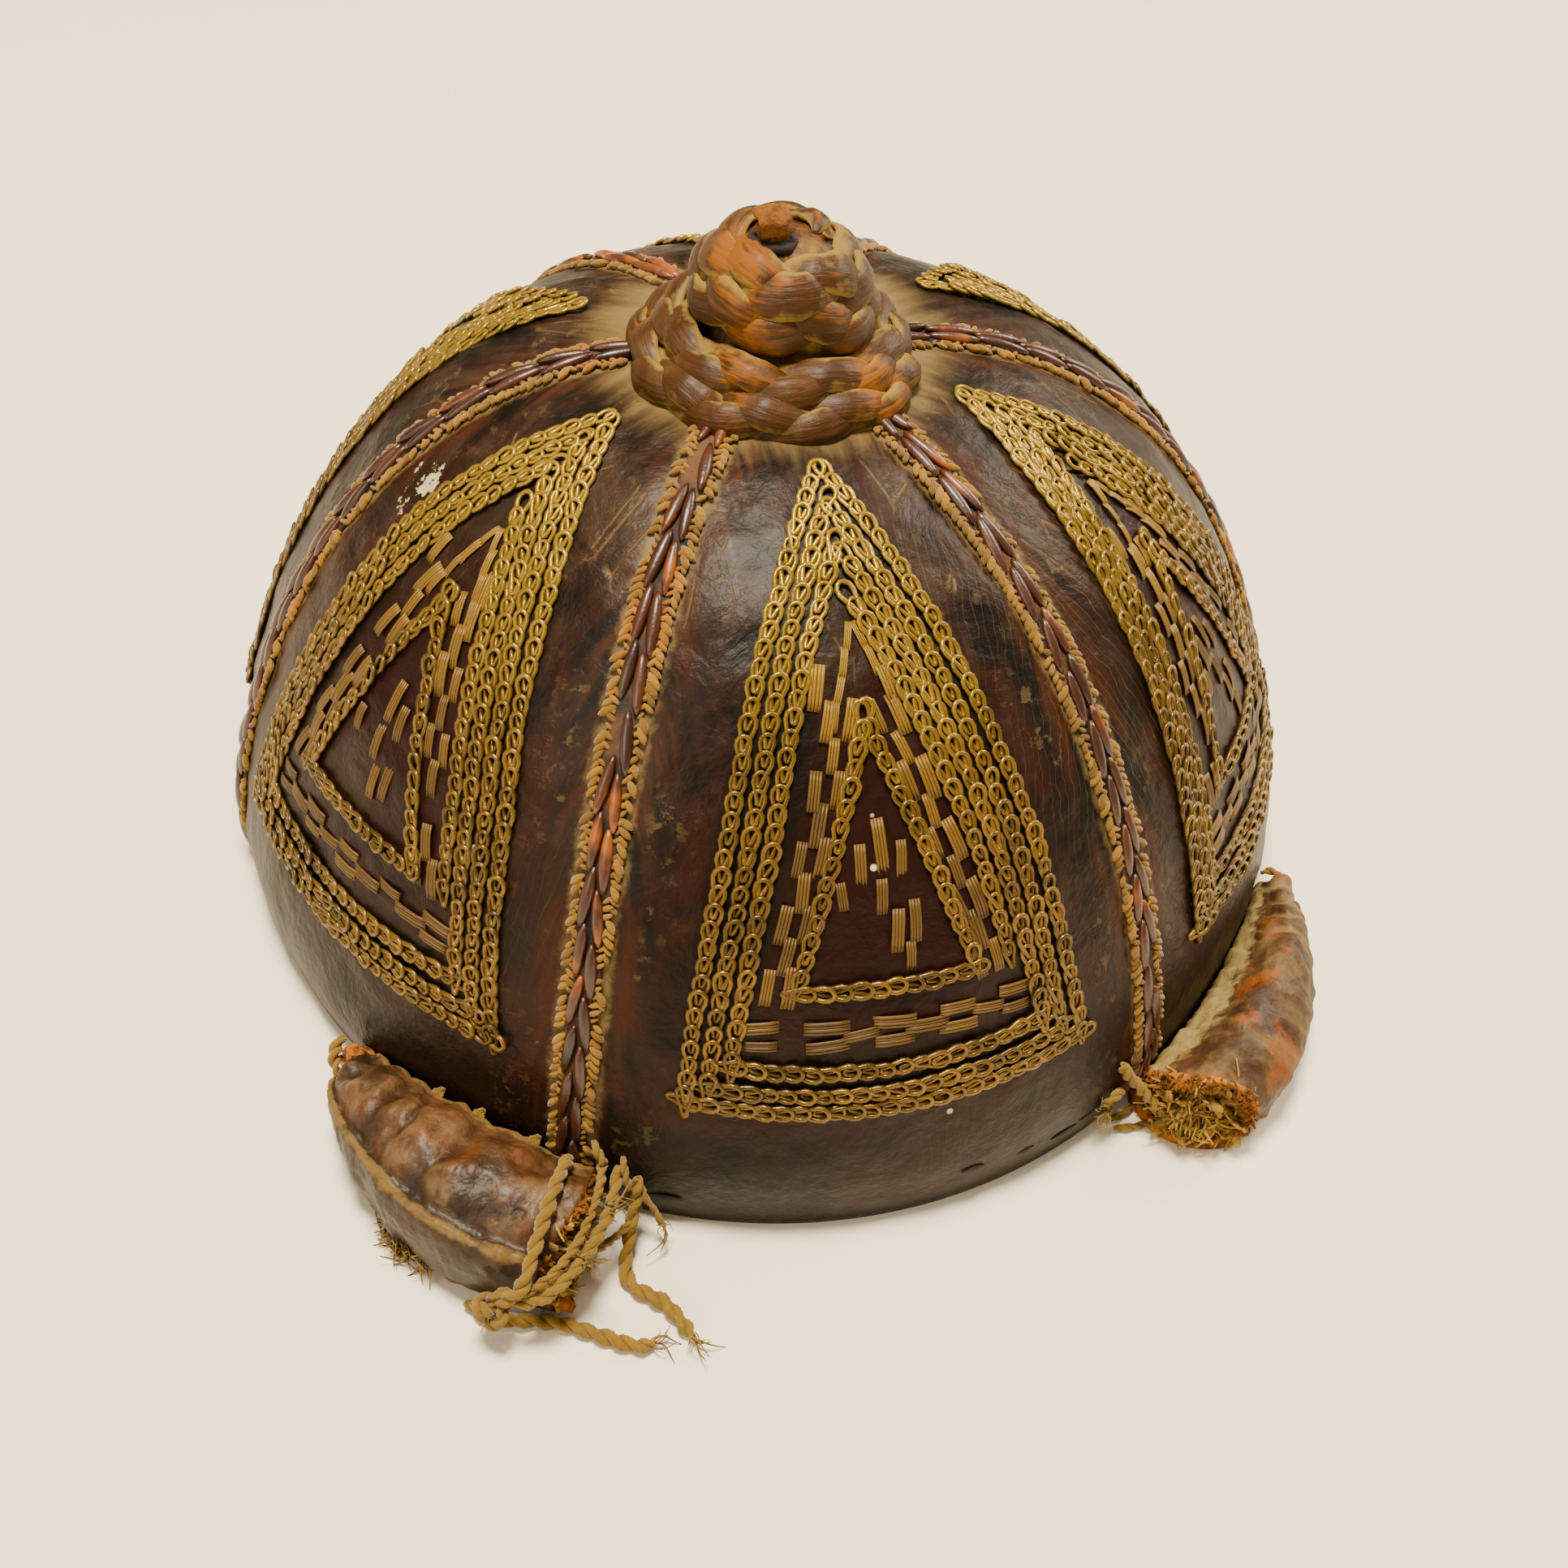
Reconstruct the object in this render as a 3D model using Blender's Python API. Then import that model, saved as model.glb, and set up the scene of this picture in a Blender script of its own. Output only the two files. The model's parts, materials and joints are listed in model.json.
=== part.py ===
"""Six-gore leather cap with seam welts, a plaited topknot, two stuffed side rolls and yarn ties.

Metres, +Z up. The origin is the centre of the rim's plane, which stands on the ground.
The front gore faces -Y. An azimuth is measured from -Y towards +X.
"""

import math

import bmesh
import bpy
import numpy as np
from mathutils import Vector

MM = 0.001

# Crown
CROWN_RADIUS = 100 * MM
RIM_SHARE = 0.9825
BULGE_HEIGHT = 12.2 * MM
CROWN_HEIGHT = 106.3 * MM
SHOULDER_POWER = 0.7174
RISE_POWER = 1.3871
OVAL_SHARE = 0.0222
OVAL_AT = math.radians(-54.5)
THREE_SHARE = 0.0240
THREE_AT = math.radians(-4.2)
LEAN = (-5.1 * MM, 1.4 * MM)
TOP_DIMPLE = 3.0 * MM
DIMPLE_SPREAD = 24 * MM
LEATHER = 2.6 * MM
GORES = 6
GORE_ANGLE = 2 * math.pi / GORES
SEAM_SLOT = 2.15 * MM
SEAM_DIP = 0.6 * MM
SEAM_DIP_SPREAD = 5 * MM
CROWN_HOLE = 6 * MM
GORE_ROWS = 15
GORE_COLUMNS = 10

# Shallow dents of the old leather: where, how deep and how wide
DENTS = [
    # azimuth (degrees), share up the gore, depth, spread
    dict(azimuth=-52, share=0.62, depth=1.1 * MM, spread=20 * MM),
    dict(azimuth=38, share=0.70, depth=0.9 * MM, spread=18 * MM),
    dict(azimuth=-128, share=0.40, depth=1.4 * MM, spread=26 * MM),
    dict(azimuth=80, share=0.30, depth=1.5 * MM, spread=28 * MM),
    dict(azimuth=172, share=0.55, depth=1.0 * MM, spread=22 * MM),
    dict(azimuth=-8, share=0.80, depth=-0.6 * MM, spread=12 * MM),
]

GORE_NAMES = ["front", "front_right", "back_right", "back", "back_left", "front_left"]

# Seam welts: the root fills the slot, the bead lies over both edges
ROOT_HALF = 0.65 * MM
BEAD_HALF = 2.0 * MM
BEAD_HEIGHT = 2.0 * MM
BEAD_LIFT = 0.35 * MM
WELTS = [
    # name, azimuth (degrees), height above the rim where the bead starts, crown radius where it stops
    dict(name="front_right", azimuth=30, start=11 * MM, stop=36.5 * MM),
    dict(name="right", azimuth=90, start=4 * MM, stop=31 * MM),
    dict(name="back_right", azimuth=150, start=4 * MM, stop=26 * MM),
    dict(name="back_left", azimuth=-150, start=4 * MM, stop=26 * MM),
    dict(name="left", azimuth=-90, start=4 * MM, stop=30 * MM),
    dict(name="front_left", azimuth=-30, start=14.5 * MM, stop=34 * MM),
]

# Topknot
KNOT_SHIFT = 4.0 * MM
KNOT_SHIFT_AT = math.radians(-4)
KNOT_LEAN = 0.07
ROPE_RADIUS = 3.35 * MM
ROPE_GAP = 0.6 * MM
ROPE_START_AT = math.radians(75)
ROPE_LOBES = 14
ROPE_STEPS = 54
ROPE_SIDES = 8
ROPE_TURNS = [
    # turns from the outer end, radius, rise above the leather
    dict(turn=0.00, radius=23.4 * MM, rise=0.0 * MM),
    dict(turn=0.25, radius=22.4 * MM, rise=0.1 * MM),
    dict(turn=0.50, radius=21.6 * MM, rise=0.4 * MM),
    dict(turn=0.75, radius=20.4 * MM, rise=1.4 * MM),
    dict(turn=1.00, radius=17.6 * MM, rise=4.0 * MM),
    dict(turn=1.25, radius=16.7 * MM, rise=4.7 * MM),
    dict(turn=1.50, radius=16.5 * MM, rise=5.6 * MM),
    dict(turn=1.78, radius=16.3 * MM, rise=7.4 * MM),
]
BULB_SIDES = 20
BULB = [
    # height above the leather, radius
    dict(height=1.5 * MM, radius=8.0 * MM),
    dict(height=5.0 * MM, radius=11.4 * MM),
    dict(height=9.5 * MM, radius=12.3 * MM),
    dict(height=13.0 * MM, radius=13.2 * MM),
    dict(height=16.5 * MM, radius=13.4 * MM),
    dict(height=19.5 * MM, radius=12.2 * MM),
    dict(height=22.0 * MM, radius=9.9 * MM),
    dict(height=24.0 * MM, radius=6.6 * MM),
    dict(height=25.0 * MM, radius=2.6 * MM),
]
STUB_RADIUS = 2.9 * MM
STUB_HEIGHT = 4.2 * MM
STUB_SHIFT = 3.4 * MM
STUB_AT = math.radians(-46)
STUB_SIDES = 7

# Side rolls: leather pouches that stand on the ground along the rim
POUCH_WALL = 1.8 * MM
POUCH_GAP = 0.5 * MM
POUCH_STATIONS = 12
LEFT_SECTION = [
    # share of the width out from the crown, share of the height
    dict(out=0.05, up=0.015),
    dict(out=0.00, up=0.28),
    dict(out=0.02, up=0.58),
    dict(out=0.15, up=0.79),
    dict(out=0.37, up=0.96),
    dict(out=0.62, up=1.00),
    dict(out=0.80, up=0.89),
    dict(out=0.88, up=0.80),
    dict(out=0.97, up=0.82),
    dict(out=1.00, up=0.58),
    dict(out=1.00, up=0.28),
    dict(out=0.95, up=0.015),
    dict(out=0.62, up=0.015),
    dict(out=0.32, up=0.015),
]
RIGHT_SECTION = [
    # share of the width out from the crown, share of the height
    dict(out=0.05, up=0.015),
    dict(out=0.00, up=0.20),
    dict(out=0.02, up=0.46),
    dict(out=0.16, up=0.66),
    dict(out=0.34, up=0.86),
    dict(out=0.54, up=0.99),
    dict(out=0.74, up=0.98),
    dict(out=0.90, up=0.82),
    dict(out=0.99, up=0.58),
    dict(out=1.00, up=0.34),
    dict(out=0.97, up=0.12),
    dict(out=0.88, up=0.015),
    dict(out=0.58, up=0.015),
    dict(out=0.30, up=0.015),
]
LEFT_ROLL = [
    # azimuth (degrees), width out from the crown, height
    dict(azimuth=-27.4, width=22.8 * MM, height=17.0 * MM),
    dict(azimuth=-33.0, width=24.2 * MM, height=19.0 * MM),
    dict(azimuth=-38.0, width=23.6 * MM, height=19.6 * MM),
    dict(azimuth=-43.0, width=20.4 * MM, height=18.8 * MM),
    dict(azimuth=-47.0, width=16.0 * MM, height=17.4 * MM),
    dict(azimuth=-50.5, width=11.6 * MM, height=15.4 * MM),
    dict(azimuth=-53.5, width=7.4 * MM, height=12.6 * MM),
    dict(azimuth=-56.2, width=4.9 * MM, height=10.0 * MM),
]
RIGHT_ROLL = [
    # azimuth (degrees), width out from the crown, height
    dict(azimuth=31.0, width=19.4 * MM, height=17.4 * MM),
    dict(azimuth=37.0, width=20.2 * MM, height=18.0 * MM),
    dict(azimuth=43.0, width=19.0 * MM, height=18.2 * MM),
    dict(azimuth=50.0, width=15.6 * MM, height=17.6 * MM),
    dict(azimuth=56.0, width=11.4 * MM, height=15.6 * MM),
    dict(azimuth=60.0, width=8.0 * MM, height=13.0 * MM),
    dict(azimuth=64.5, width=5.4 * MM, height=9.5 * MM),
]
# How far each cut end runs on past its first station: the outer foot's tongue, then across the width
LEFT_END = dict(tongue=3.0 * MM, inner=-0.5 * MM, middle=1.0 * MM, outer=-2.5 * MM)
RIGHT_END = dict(tongue=3.0 * MM, inner=2.0 * MM, middle=3.0 * MM, outer=-6.0 * MM)
WRINKLES = [
    # roll, azimuth (degrees), depth, spread along the rim in degrees
    dict(roll="left", azimuth=-41.5, depth=1.2 * MM, spread=1.6),
    dict(roll="left", azimuth=-50.5, depth=1.3 * MM, spread=1.8),
    dict(roll="right", azimuth=55.0, depth=1.0 * MM, spread=1.5),
    dict(roll="right", azimuth=61.0, depth=1.2 * MM, spread=1.5),
]
CLOSED_END = dict(left=4.5, right=8.5)
STUFFING_GAP = 0.35 * MM
STUFFING_OUT = dict(left=0.5 * MM, right=2.0 * MM)

# Yarn
YARN_RADIUS = 1.3 * MM
YARN_SIDES = 7
TIE_BAND = [
    # over the top of the left roll, from the crown's side to the knot at its outer foot
    dict(azimuth=-29.2, out=3.6 * MM, up=16.0 * MM, radius=1.1 * MM),
    dict(azimuth=-28.9, out=8.2 * MM, up=19.0 * MM, radius=1.3 * MM),
    dict(azimuth=-28.6, out=14.6 * MM, up=20.2 * MM, radius=1.3 * MM),
    dict(azimuth=-28.5, out=20.2 * MM, up=18.2 * MM, radius=1.3 * MM),
    dict(azimuth=-28.4, out=24.4 * MM, up=17.0 * MM, radius=1.3 * MM),
    dict(azimuth=-28.6, out=26.6 * MM, up=14.4 * MM, radius=1.3 * MM),
    dict(azimuth=-29.2, out=27.4 * MM, up=12.2 * MM, radius=1.6 * MM),
    dict(azimuth=-30.2, out=28.2 * MM, up=9.4 * MM, radius=2.6 * MM),
    dict(azimuth=-30.6, out=28.2 * MM, up=6.6 * MM, radius=1.5 * MM),
]
TIE_LACING = [
    # from the hole beside the seam, across the cut end, to the knot
    dict(azimuth=-25.2, out=0.8 * MM, up=14.0 * MM, radius=1.2 * MM),
    dict(azimuth=-24.8, out=5.0 * MM, up=14.2 * MM, radius=1.4 * MM),
    dict(azimuth=-24.6, out=9.5 * MM, up=14.0 * MM, radius=1.4 * MM),
    dict(azimuth=-24.9, out=14.0 * MM, up=13.6 * MM, radius=1.6 * MM),
    dict(azimuth=-25.4, out=18.6 * MM, up=13.2 * MM, radius=1.4 * MM),
    dict(azimuth=-26.2, out=22.6 * MM, up=12.6 * MM, radius=1.2 * MM),
    dict(azimuth=-26.9, out=25.6 * MM, up=11.6 * MM, radius=1.2 * MM),
]
# The routes of the two loose ends, chosen on the photograph
CORD_LONG = [
    (-70.0 * MM, -106.0 * MM, 1.5 * MM),
    (-66.0 * MM, -109.6 * MM, 1.5 * MM),
    (-62.3 * MM, -110.6 * MM, 1.5 * MM),
    (-58.6 * MM, -111.4 * MM, 1.5 * MM),
    (-54.3 * MM, -112.9 * MM, 1.5 * MM),
    (-49.2 * MM, -115.8 * MM, 1.5 * MM),
    (-45.0 * MM, -118.0 * MM, 1.5 * MM),
    (-41.9 * MM, -118.4 * MM, 1.5 * MM),
]
CORD_SHORT = [
    (-41.1 * MM, -95.1 * MM, 13.0 * MM),
    (-41.5 * MM, -96.2 * MM, 10.2 * MM),
    (-42.4 * MM, -98.3 * MM, 7.4 * MM),
    (-43.2 * MM, -100.4 * MM, 4.6 * MM),
    (-44.0 * MM, -102.6 * MM, 2.8 * MM),
    (-44.4 * MM, -105.2 * MM, 1.9 * MM),
    (-43.5 * MM, -107.8 * MM, 1.7 * MM),
    (-41.4 * MM, -109.6 * MM, 1.7 * MM),
    (-39.3 * MM, -111.4 * MM, 1.7 * MM),
    (-37.8 * MM, -113.8 * MM, 1.7 * MM),
    (-36.6 * MM, -116.4 * MM, 1.7 * MM),
    (-35.9 * MM, -118.4 * MM, 1.7 * MM),
]
CORD_RADIUS = 1.3 * MM


def column(table, name):
    return [row[name] for row in table]


def along(table, key, name, value):
    """The named column of a table at a value of its key column."""
    keys = column(table, key)
    values = column(table, name)
    if keys[0] > keys[-1]:
        keys, values = keys[::-1], values[::-1]
    return float(np.interp(value, keys, values))


def crown_radius_at(height):
    """Radius of the plain profile at a height, as a share-free length."""
    if height < BULGE_HEIGHT:
        left = 1 - height / BULGE_HEIGHT
        return CROWN_RADIUS * (1 - (1 - RIM_SHARE) * left**2)
    rise = min((height - BULGE_HEIGHT) / (CROWN_HEIGHT - BULGE_HEIGHT), 1)
    angle = math.asin(rise ** (1 / RISE_POWER))
    return CROWN_RADIUS * max(math.cos(angle), 0) ** SHOULDER_POWER


def profile_samples(steps=400):
    """Radius and height against the share of the arc length from rim to apex."""
    points = []
    for i in range(steps):
        left = 1 - i / steps
        height = BULGE_HEIGHT * (1 - left)
        points.append((CROWN_RADIUS * (1 - (1 - RIM_SHARE) * left**2), height))
    for i in range(steps * 3 + 1):
        angle = i / (steps * 3) * math.pi / 2
        radius = CROWN_RADIUS * max(math.cos(angle), 0) ** SHOULDER_POWER
        height = BULGE_HEIGHT + (CROWN_HEIGHT - BULGE_HEIGHT) * math.sin(angle) ** RISE_POWER
        points.append((radius, height))
    points = np.array(points)
    steps_long = np.hypot(*np.diff(points, axis=0).T)
    arc = np.concatenate([[0], np.cumsum(steps_long)])
    return arc / arc[-1], points[:, 0], points[:, 1], float(arc[-1])


SHARES, RADII, HEIGHTS, GORE_LENGTH = profile_samples()


def oval(azimuth):
    second = OVAL_SHARE * math.cos(2 * (azimuth - OVAL_AT))
    third = THREE_SHARE * math.cos(3 * (azimuth - THREE_AT))
    return 1 + second + third


def outward(azimuth):
    return Vector((math.sin(azimuth), -math.cos(azimuth), 0))


def plain_crown(azimuth, share):
    """The smooth outer surface, before seams and dents."""
    radius = float(np.interp(share, SHARES, RADII))
    height = float(np.interp(share, SHARES, HEIGHTS))
    lean = (height / CROWN_HEIGHT) ** 2
    point = outward(azimuth) * radius * oval(azimuth)
    point += Vector((LEAN[0] * lean, LEAN[1] * lean, height))
    point.z -= TOP_DIMPLE * math.exp(-((radius / DIMPLE_SPREAD) ** 2))
    return point


def crown_normal(azimuth, share):
    step = 0.004
    low, high = max(share - step, 0), min(share + step, 0.999)
    up = plain_crown(azimuth, high) - plain_crown(azimuth, low)
    across = plain_crown(azimuth + step, share) - plain_crown(azimuth - step, share)
    return across.cross(up).normalized()


def seam_distance(azimuth, share):
    """Distance along the surface to the nearest seam."""
    turn = (azimuth - GORE_ANGLE / 2) / GORE_ANGLE
    off = abs(turn - round(turn)) * GORE_ANGLE
    return off * float(np.interp(share, SHARES, RADII))


def crown(azimuth, share, lift=0.0):
    """A point of the outer surface, raised along its normal by lift."""
    base = plain_crown(azimuth, share)
    down = SEAM_DIP * math.exp(-((seam_distance(azimuth, share) / SEAM_DIP_SPREAD) ** 2))
    for dent in DENTS:
        centre = plain_crown(math.radians(dent["azimuth"]), dent["share"])
        away = (base - centre).length / dent["spread"]
        down += dent["depth"] * math.exp(-(away**2))
    normal = crown_normal(azimuth, share)
    if lift < 0:
        # The inner face meets the ground squarely, so its offset starts level at the rim
        level = min(share / 0.08, 1)
        normal = Vector((normal.x, normal.y, normal.z * level)).normalized()
        if share == 0:
            down = 0
    return base + normal * (lift - down)


def share_at_radius(radius):
    """Share at which the plain profile narrows to a radius, above the bulge."""
    upper = SHARES > 0.5
    return float(np.interp(-radius, -RADII[upper], SHARES[upper]))


def share_at_height(height):
    return float(np.interp(height, HEIGHTS, SHARES))


TOP_SHARE = share_at_radius(CROWN_HOLE)


def new_object(name, points, faces):
    mesh = bpy.data.meshes.new(name)
    mesh.from_pydata([tuple(p) for p in points], [], faces)
    built = bmesh.new()
    built.from_mesh(mesh)
    bmesh.ops.triangulate(built, faces=built.faces[:])
    bmesh.ops.recalc_face_normals(built, faces=built.faces[:])
    if built.calc_volume(signed=True) < 0:
        bmesh.ops.reverse_faces(built, faces=built.faces[:])
    built.to_mesh(mesh)
    built.free()
    made = bpy.data.objects.new(name, mesh)
    bpy.context.scene.collection.objects.link(made)
    return made


def loft(name, rings, cap_start=True, cap_end=True):
    """A closed skin through rings of the same number of points."""
    sides = len(rings[0])
    points = [p for ring in rings for p in ring]
    faces = []
    for i in range(len(rings) - 1):
        for j in range(sides):
            k = (j + 1) % sides
            faces.append((i * sides + j, i * sides + k, (i + 1) * sides + k, (i + 1) * sides + j))
    last = (len(rings) - 1) * sides
    if cap_start:
        faces.append(tuple(range(sides))[::-1])
    if cap_end:
        faces.append(tuple(last + j for j in range(sides)))
    return new_object(name, points, faces)


# Crown gores: an outer and an inner grid, joined round the edge

def gore_shares():
    return [TOP_SHARE * i / GORE_ROWS for i in range(GORE_ROWS + 1)]


def gore(index):
    centre = index * GORE_ANGLE
    outer, inner = [], []
    for share in gore_shares():
        radius = (plain_crown(centre, share) - plain_crown(centre + math.pi, share)).length / 2
        half = GORE_ANGLE / 2 - math.asin(min(SEAM_SLOT / 2 / radius, 0.9))
        for i in range(GORE_COLUMNS + 1):
            # Columns stand closer together towards the seams
            across = math.sin((i / GORE_COLUMNS - 0.5) * math.pi)
            blend = 0.5 * across + (i / GORE_COLUMNS - 0.5)
            azimuth = centre + half * blend
            outer.append(crown(azimuth, share))
            inner.append(crown(azimuth, share, -LEATHER))
    columns = GORE_COLUMNS + 1
    count = len(outer)
    faces = []
    for r in range(GORE_ROWS):
        for c in range(GORE_COLUMNS):
            a = r * columns + c
            faces.append((a, a + 1, a + 1 + columns, a + columns))
            faces.append((count + a, count + a + columns, count + a + 1 + columns, count + a + 1))
    edge = [c for c in range(columns)]
    edge += [r * columns + GORE_COLUMNS for r in range(1, GORE_ROWS + 1)]
    edge += [GORE_ROWS * columns + c for c in range(GORE_COLUMNS - 1, -1, -1)]
    edge += [r * columns for r in range(GORE_ROWS - 1, 0, -1)]
    for i, a in enumerate(edge):
        b = edge[(i + 1) % len(edge)]
        faces.append((a, count + a, count + b, b))
    return new_object("gore_" + GORE_NAMES[index], outer + inner, faces)


# Seam welts: one keyhole section carried along each seam

def welt(row):
    azimuth = math.radians(row["azimuth"])
    start = share_at_height(row["start"])
    stop = share_at_radius(row["stop"])
    rings = []
    for share in [0.004] + gore_shares()[1:-1] + [TOP_SHARE * 0.985]:
        point = crown(azimuth, share)
        normal = crown_normal(azimuth, share)
        up = crown(azimuth, min(share + 0.01, 0.995)) - crown(azimuth, share)
        side = up.normalized().cross(normal).normalized()
        near = min(max((share - start) / 0.05 + 0.5, 0), 1)
        near *= min(max((stop - share) / 0.05 + 0.5, 0), 1)
        half = ROOT_HALF + 0.1 * MM + (BEAD_HALF - ROOT_HALF) * near
        height = BEAD_LIFT + 0.2 * MM + (BEAD_HEIGHT - BEAD_LIFT) * near
        low = BEAD_LIFT
        middle = low + (height - low) * 0.55
        deep = -LEATHER * 0.85
        section = [
            (-ROOT_HALF, deep),
            (ROOT_HALF, deep),
            (ROOT_HALF, low),
            (half, low),
            (half * 0.98, middle),
            (half * 0.5, height),
            (0, height * 0.9),
            (-half * 0.5, height),
            (-half * 0.98, middle),
            (-half, low),
            (-ROOT_HALF, low),
        ]
        ring = [point + side * x + normal * h for x, h in section]
        if share < 0.01:
            for p in ring:
                p.z = max(p.z, 0.4 * MM)
        rings.append(ring)
    return loft("welt_" + row["name"], rings)


# Topknot: a rope of leather coiled on the dome, with a bulb and a stub

APEX = plain_crown(0, 0.9999)


def knot_centre(height):
    """The topknot's leaning axis at a height above the leather."""
    ahead = KNOT_SHIFT + KNOT_LEAN * height
    return APEX + outward(KNOT_SHIFT_AT) * ahead + Vector((0, 0, height))


def crown_height_near(x, y):
    """Height of the leather under a point close to the apex."""
    away = Vector((x - APEX.x, y - APEX.y, 0))
    azimuth = math.atan2(away.x, -away.y)
    return crown(azimuth, share_at_radius(away.length / oval(azimuth))).z


def rope_point(turn):
    radius = along(ROPE_TURNS, "turn", "radius", turn)
    rise = along(ROPE_TURNS, "turn", "rise", turn)
    azimuth = ROPE_START_AT - turn * 2 * math.pi
    flat = knot_centre(rise) + outward(azimuth) * radius
    low = min(rise / (4.0 * MM), 1)
    ground = crown_height_near(flat.x, flat.y)
    level = ground * (1 - low) + (crown_height_near(*knot_centre(0).xy) + 0.4 * MM) * low
    return Vector((flat.x, flat.y, level + rise + ROPE_RADIUS + ROPE_GAP))


def rope():
    last = ROPE_TURNS[-1]["turn"]
    count = int(last * ROPE_STEPS)
    rings = []
    for i in range(count + 1):
        turn = last * i / count
        point = rope_point(turn)
        ahead = rope_point(min(turn + 0.01, last)) - rope_point(max(turn - 0.01, 0))
        ahead.normalize()
        out = (point - knot_centre(0))
        out.z = 0
        out = (out - ahead * out.dot(ahead)).normalized()
        up = out.cross(ahead)
        ends = min(min(i, count - i) / 3 + 0.45, 1)
        ring = []
        for j in range(ROPE_SIDES):
            angle = j / ROPE_SIDES * 2 * math.pi
            # The plait's strands cross on the outside, so the lobes lean one way, then the other
            lobe = math.cos(turn * ROPE_LOBES * 2 * math.pi + 2 * abs(math.sin(angle)))
            reach = ROPE_RADIUS * ends * (0.96 + 0.04 * lobe)
            ring.append(point + out * math.cos(angle) * reach + up * math.sin(angle) * reach)
        rings.append(ring)
    return loft("topknot_braid", rings)


def bulb():
    base = crown_height_near(*knot_centre(0).xy)
    rings = []
    for row in BULB:
        centre = knot_centre(row["height"])
        centre.z = base + row["height"]
        ring = []
        for j in range(BULB_SIDES):
            angle = j / BULB_SIDES * 2 * math.pi
            ring.append(centre + outward(angle) * row["radius"])
        rings.append(ring)
    return loft("topknot_bulb", rings)


def stub():
    base = crown_height_near(*knot_centre(0).xy)
    top = BULB[-1]["height"]
    rings = []
    for rise, wide in ((0.0, 0.92), (0.35, 1.0), (0.8, 1.06), (1.0, 0.8)):
        axis = knot_centre(top + rise * STUB_HEIGHT)
        centre = axis + outward(STUB_AT) * STUB_SHIFT
        ring = []
        for j in range(STUB_SIDES):
            angle = j / STUB_SIDES * 2 * math.pi
            point = centre + outward(angle) * STUB_RADIUS * wide * (1 + 0.08 * (j % 2))
            # The foot follows the bulb's slope, the top stays level
            away = math.hypot(point.x - axis.x, point.y - axis.y)
            foot = along(BULB[-4:], "radius", "height", away) + 0.5 * MM
            point.z = base + foot * (1 - rise) + (top + STUB_HEIGHT) * rise
            ring.append(point)
        rings.append(ring)
    return loft("topknot_stub", rings)


# Side rolls

def rim_point(azimuth, out, up):
    """A point beside the rim: out from the crown's surface at its own height."""
    lean = (up / CROWN_HEIGHT) ** 2
    radius = crown_radius_at(up) * oval(azimuth) + out
    return outward(azimuth) * radius + Vector((LEAN[0] * lean, LEAN[1] * lean, up))


def inset_outline(outline, inset):
    """The outline moved inwards by a distance, corner by corner."""
    count = len(outline)
    moved = []
    for i, (x, z) in enumerate(outline):
        before, after = outline[i - 1], outline[(i + 1) % count]
        first = Vector((x - before[0], z - before[1])).normalized()
        second = Vector((after[0] - x, after[1] - z)).normalized()
        # The outlines run clockwise, so inwards is to the right
        inward = Vector((first.y + second.y, -first.x - second.x))
        half = max(inward.length / 2, 0.75)
        inward.normalize()
        moved.append((x + inward.x * inset / half, z + inward.y * inset / half))
    return moved


def roll_ring(side, azimuth, inset, end_shift):
    """One ring of a roll: the section's table at the azimuth, inset for inner faces."""
    table, section, end = (
        (LEFT_ROLL, LEFT_SECTION, LEFT_END) if side == "left" else (RIGHT_ROLL, RIGHT_SECTION, RIGHT_END)
    )
    width = along(table, "azimuth", "width", azimuth)
    height = along(table, "azimuth", "height", azimuth)
    crease = 0.0
    for wrinkle in WRINKLES:
        if wrinkle["roll"] == side:
            away = (azimuth - wrinkle["azimuth"]) / wrinkle["spread"]
            crease += wrinkle["depth"] * math.exp(-(away**2))
    outline = []
    for row in section:
        dip = crease * row["up"] if row["up"] > 0.4 else 0
        outline.append((row["out"] * width, row["up"] * height - dip))
    sign = 1 if side == "left" else -1
    ring = []
    for row, (x, z) in zip(section, inset_outline(outline, inset)):
        o = row["out"]
        shift = end["tongue"] * (1 - row["up"]) * o**2 + end["inner"] * (1 - o) * (1 - 2 * o)
        shift += end["middle"] * 4 * o * (1 - o) + end["outer"] * o * (2 * o - 1)
        turn = sign * end_shift * shift / CROWN_RADIUS
        ring.append(rim_point(math.radians(azimuth) + turn, POUCH_GAP + x, z))
    return ring


def roll_stations(side):
    """Azimuth of each ring outside, the one inside it, and how much of the cut end's slant it has."""
    table = LEFT_ROLL if side == "left" else RIGHT_ROLL
    first, last = table[0]["azimuth"], table[-1]["azimuth"]
    inner_last = last - math.copysign(CLOSED_END[side], last)
    stations = []
    for i in range(POUCH_STATIONS + 1):
        part = i / POUCH_STATIONS
        fade = max(1 - part * 4, 0)
        stations.append((first + (last - first) * part, first + (inner_last - first) * part, fade))
    return stations


def pouch(side):
    outer, inner = [], []
    for outside, inside, fade in roll_stations(side):
        outer.append(roll_ring(side, outside, 0, fade))
        inner.append(roll_ring(side, inside, POUCH_WALL, fade))
    sides = len(outer[0])
    points = [p for ring in outer + inner for p in ring]
    count = len(outer) * sides
    faces = []
    for i in range(POUCH_STATIONS):
        for j in range(sides):
            k = (j + 1) % sides
            a, b = i * sides + j, i * sides + k
            faces.append((a, b, b + sides, a + sides))
            faces.append((count + a, count + a + sides, count + b + sides, count + b))
    for j in range(sides):
        k = (j + 1) % sides
        faces.append((j, count + j, count + k, k))
    end = POUCH_STATIONS * sides
    faces.append(tuple(end + j for j in range(sides)))
    faces.append(tuple(count + end + j for j in range(sides))[::-1])
    return new_object("pouch_" + side, points, faces)


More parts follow.
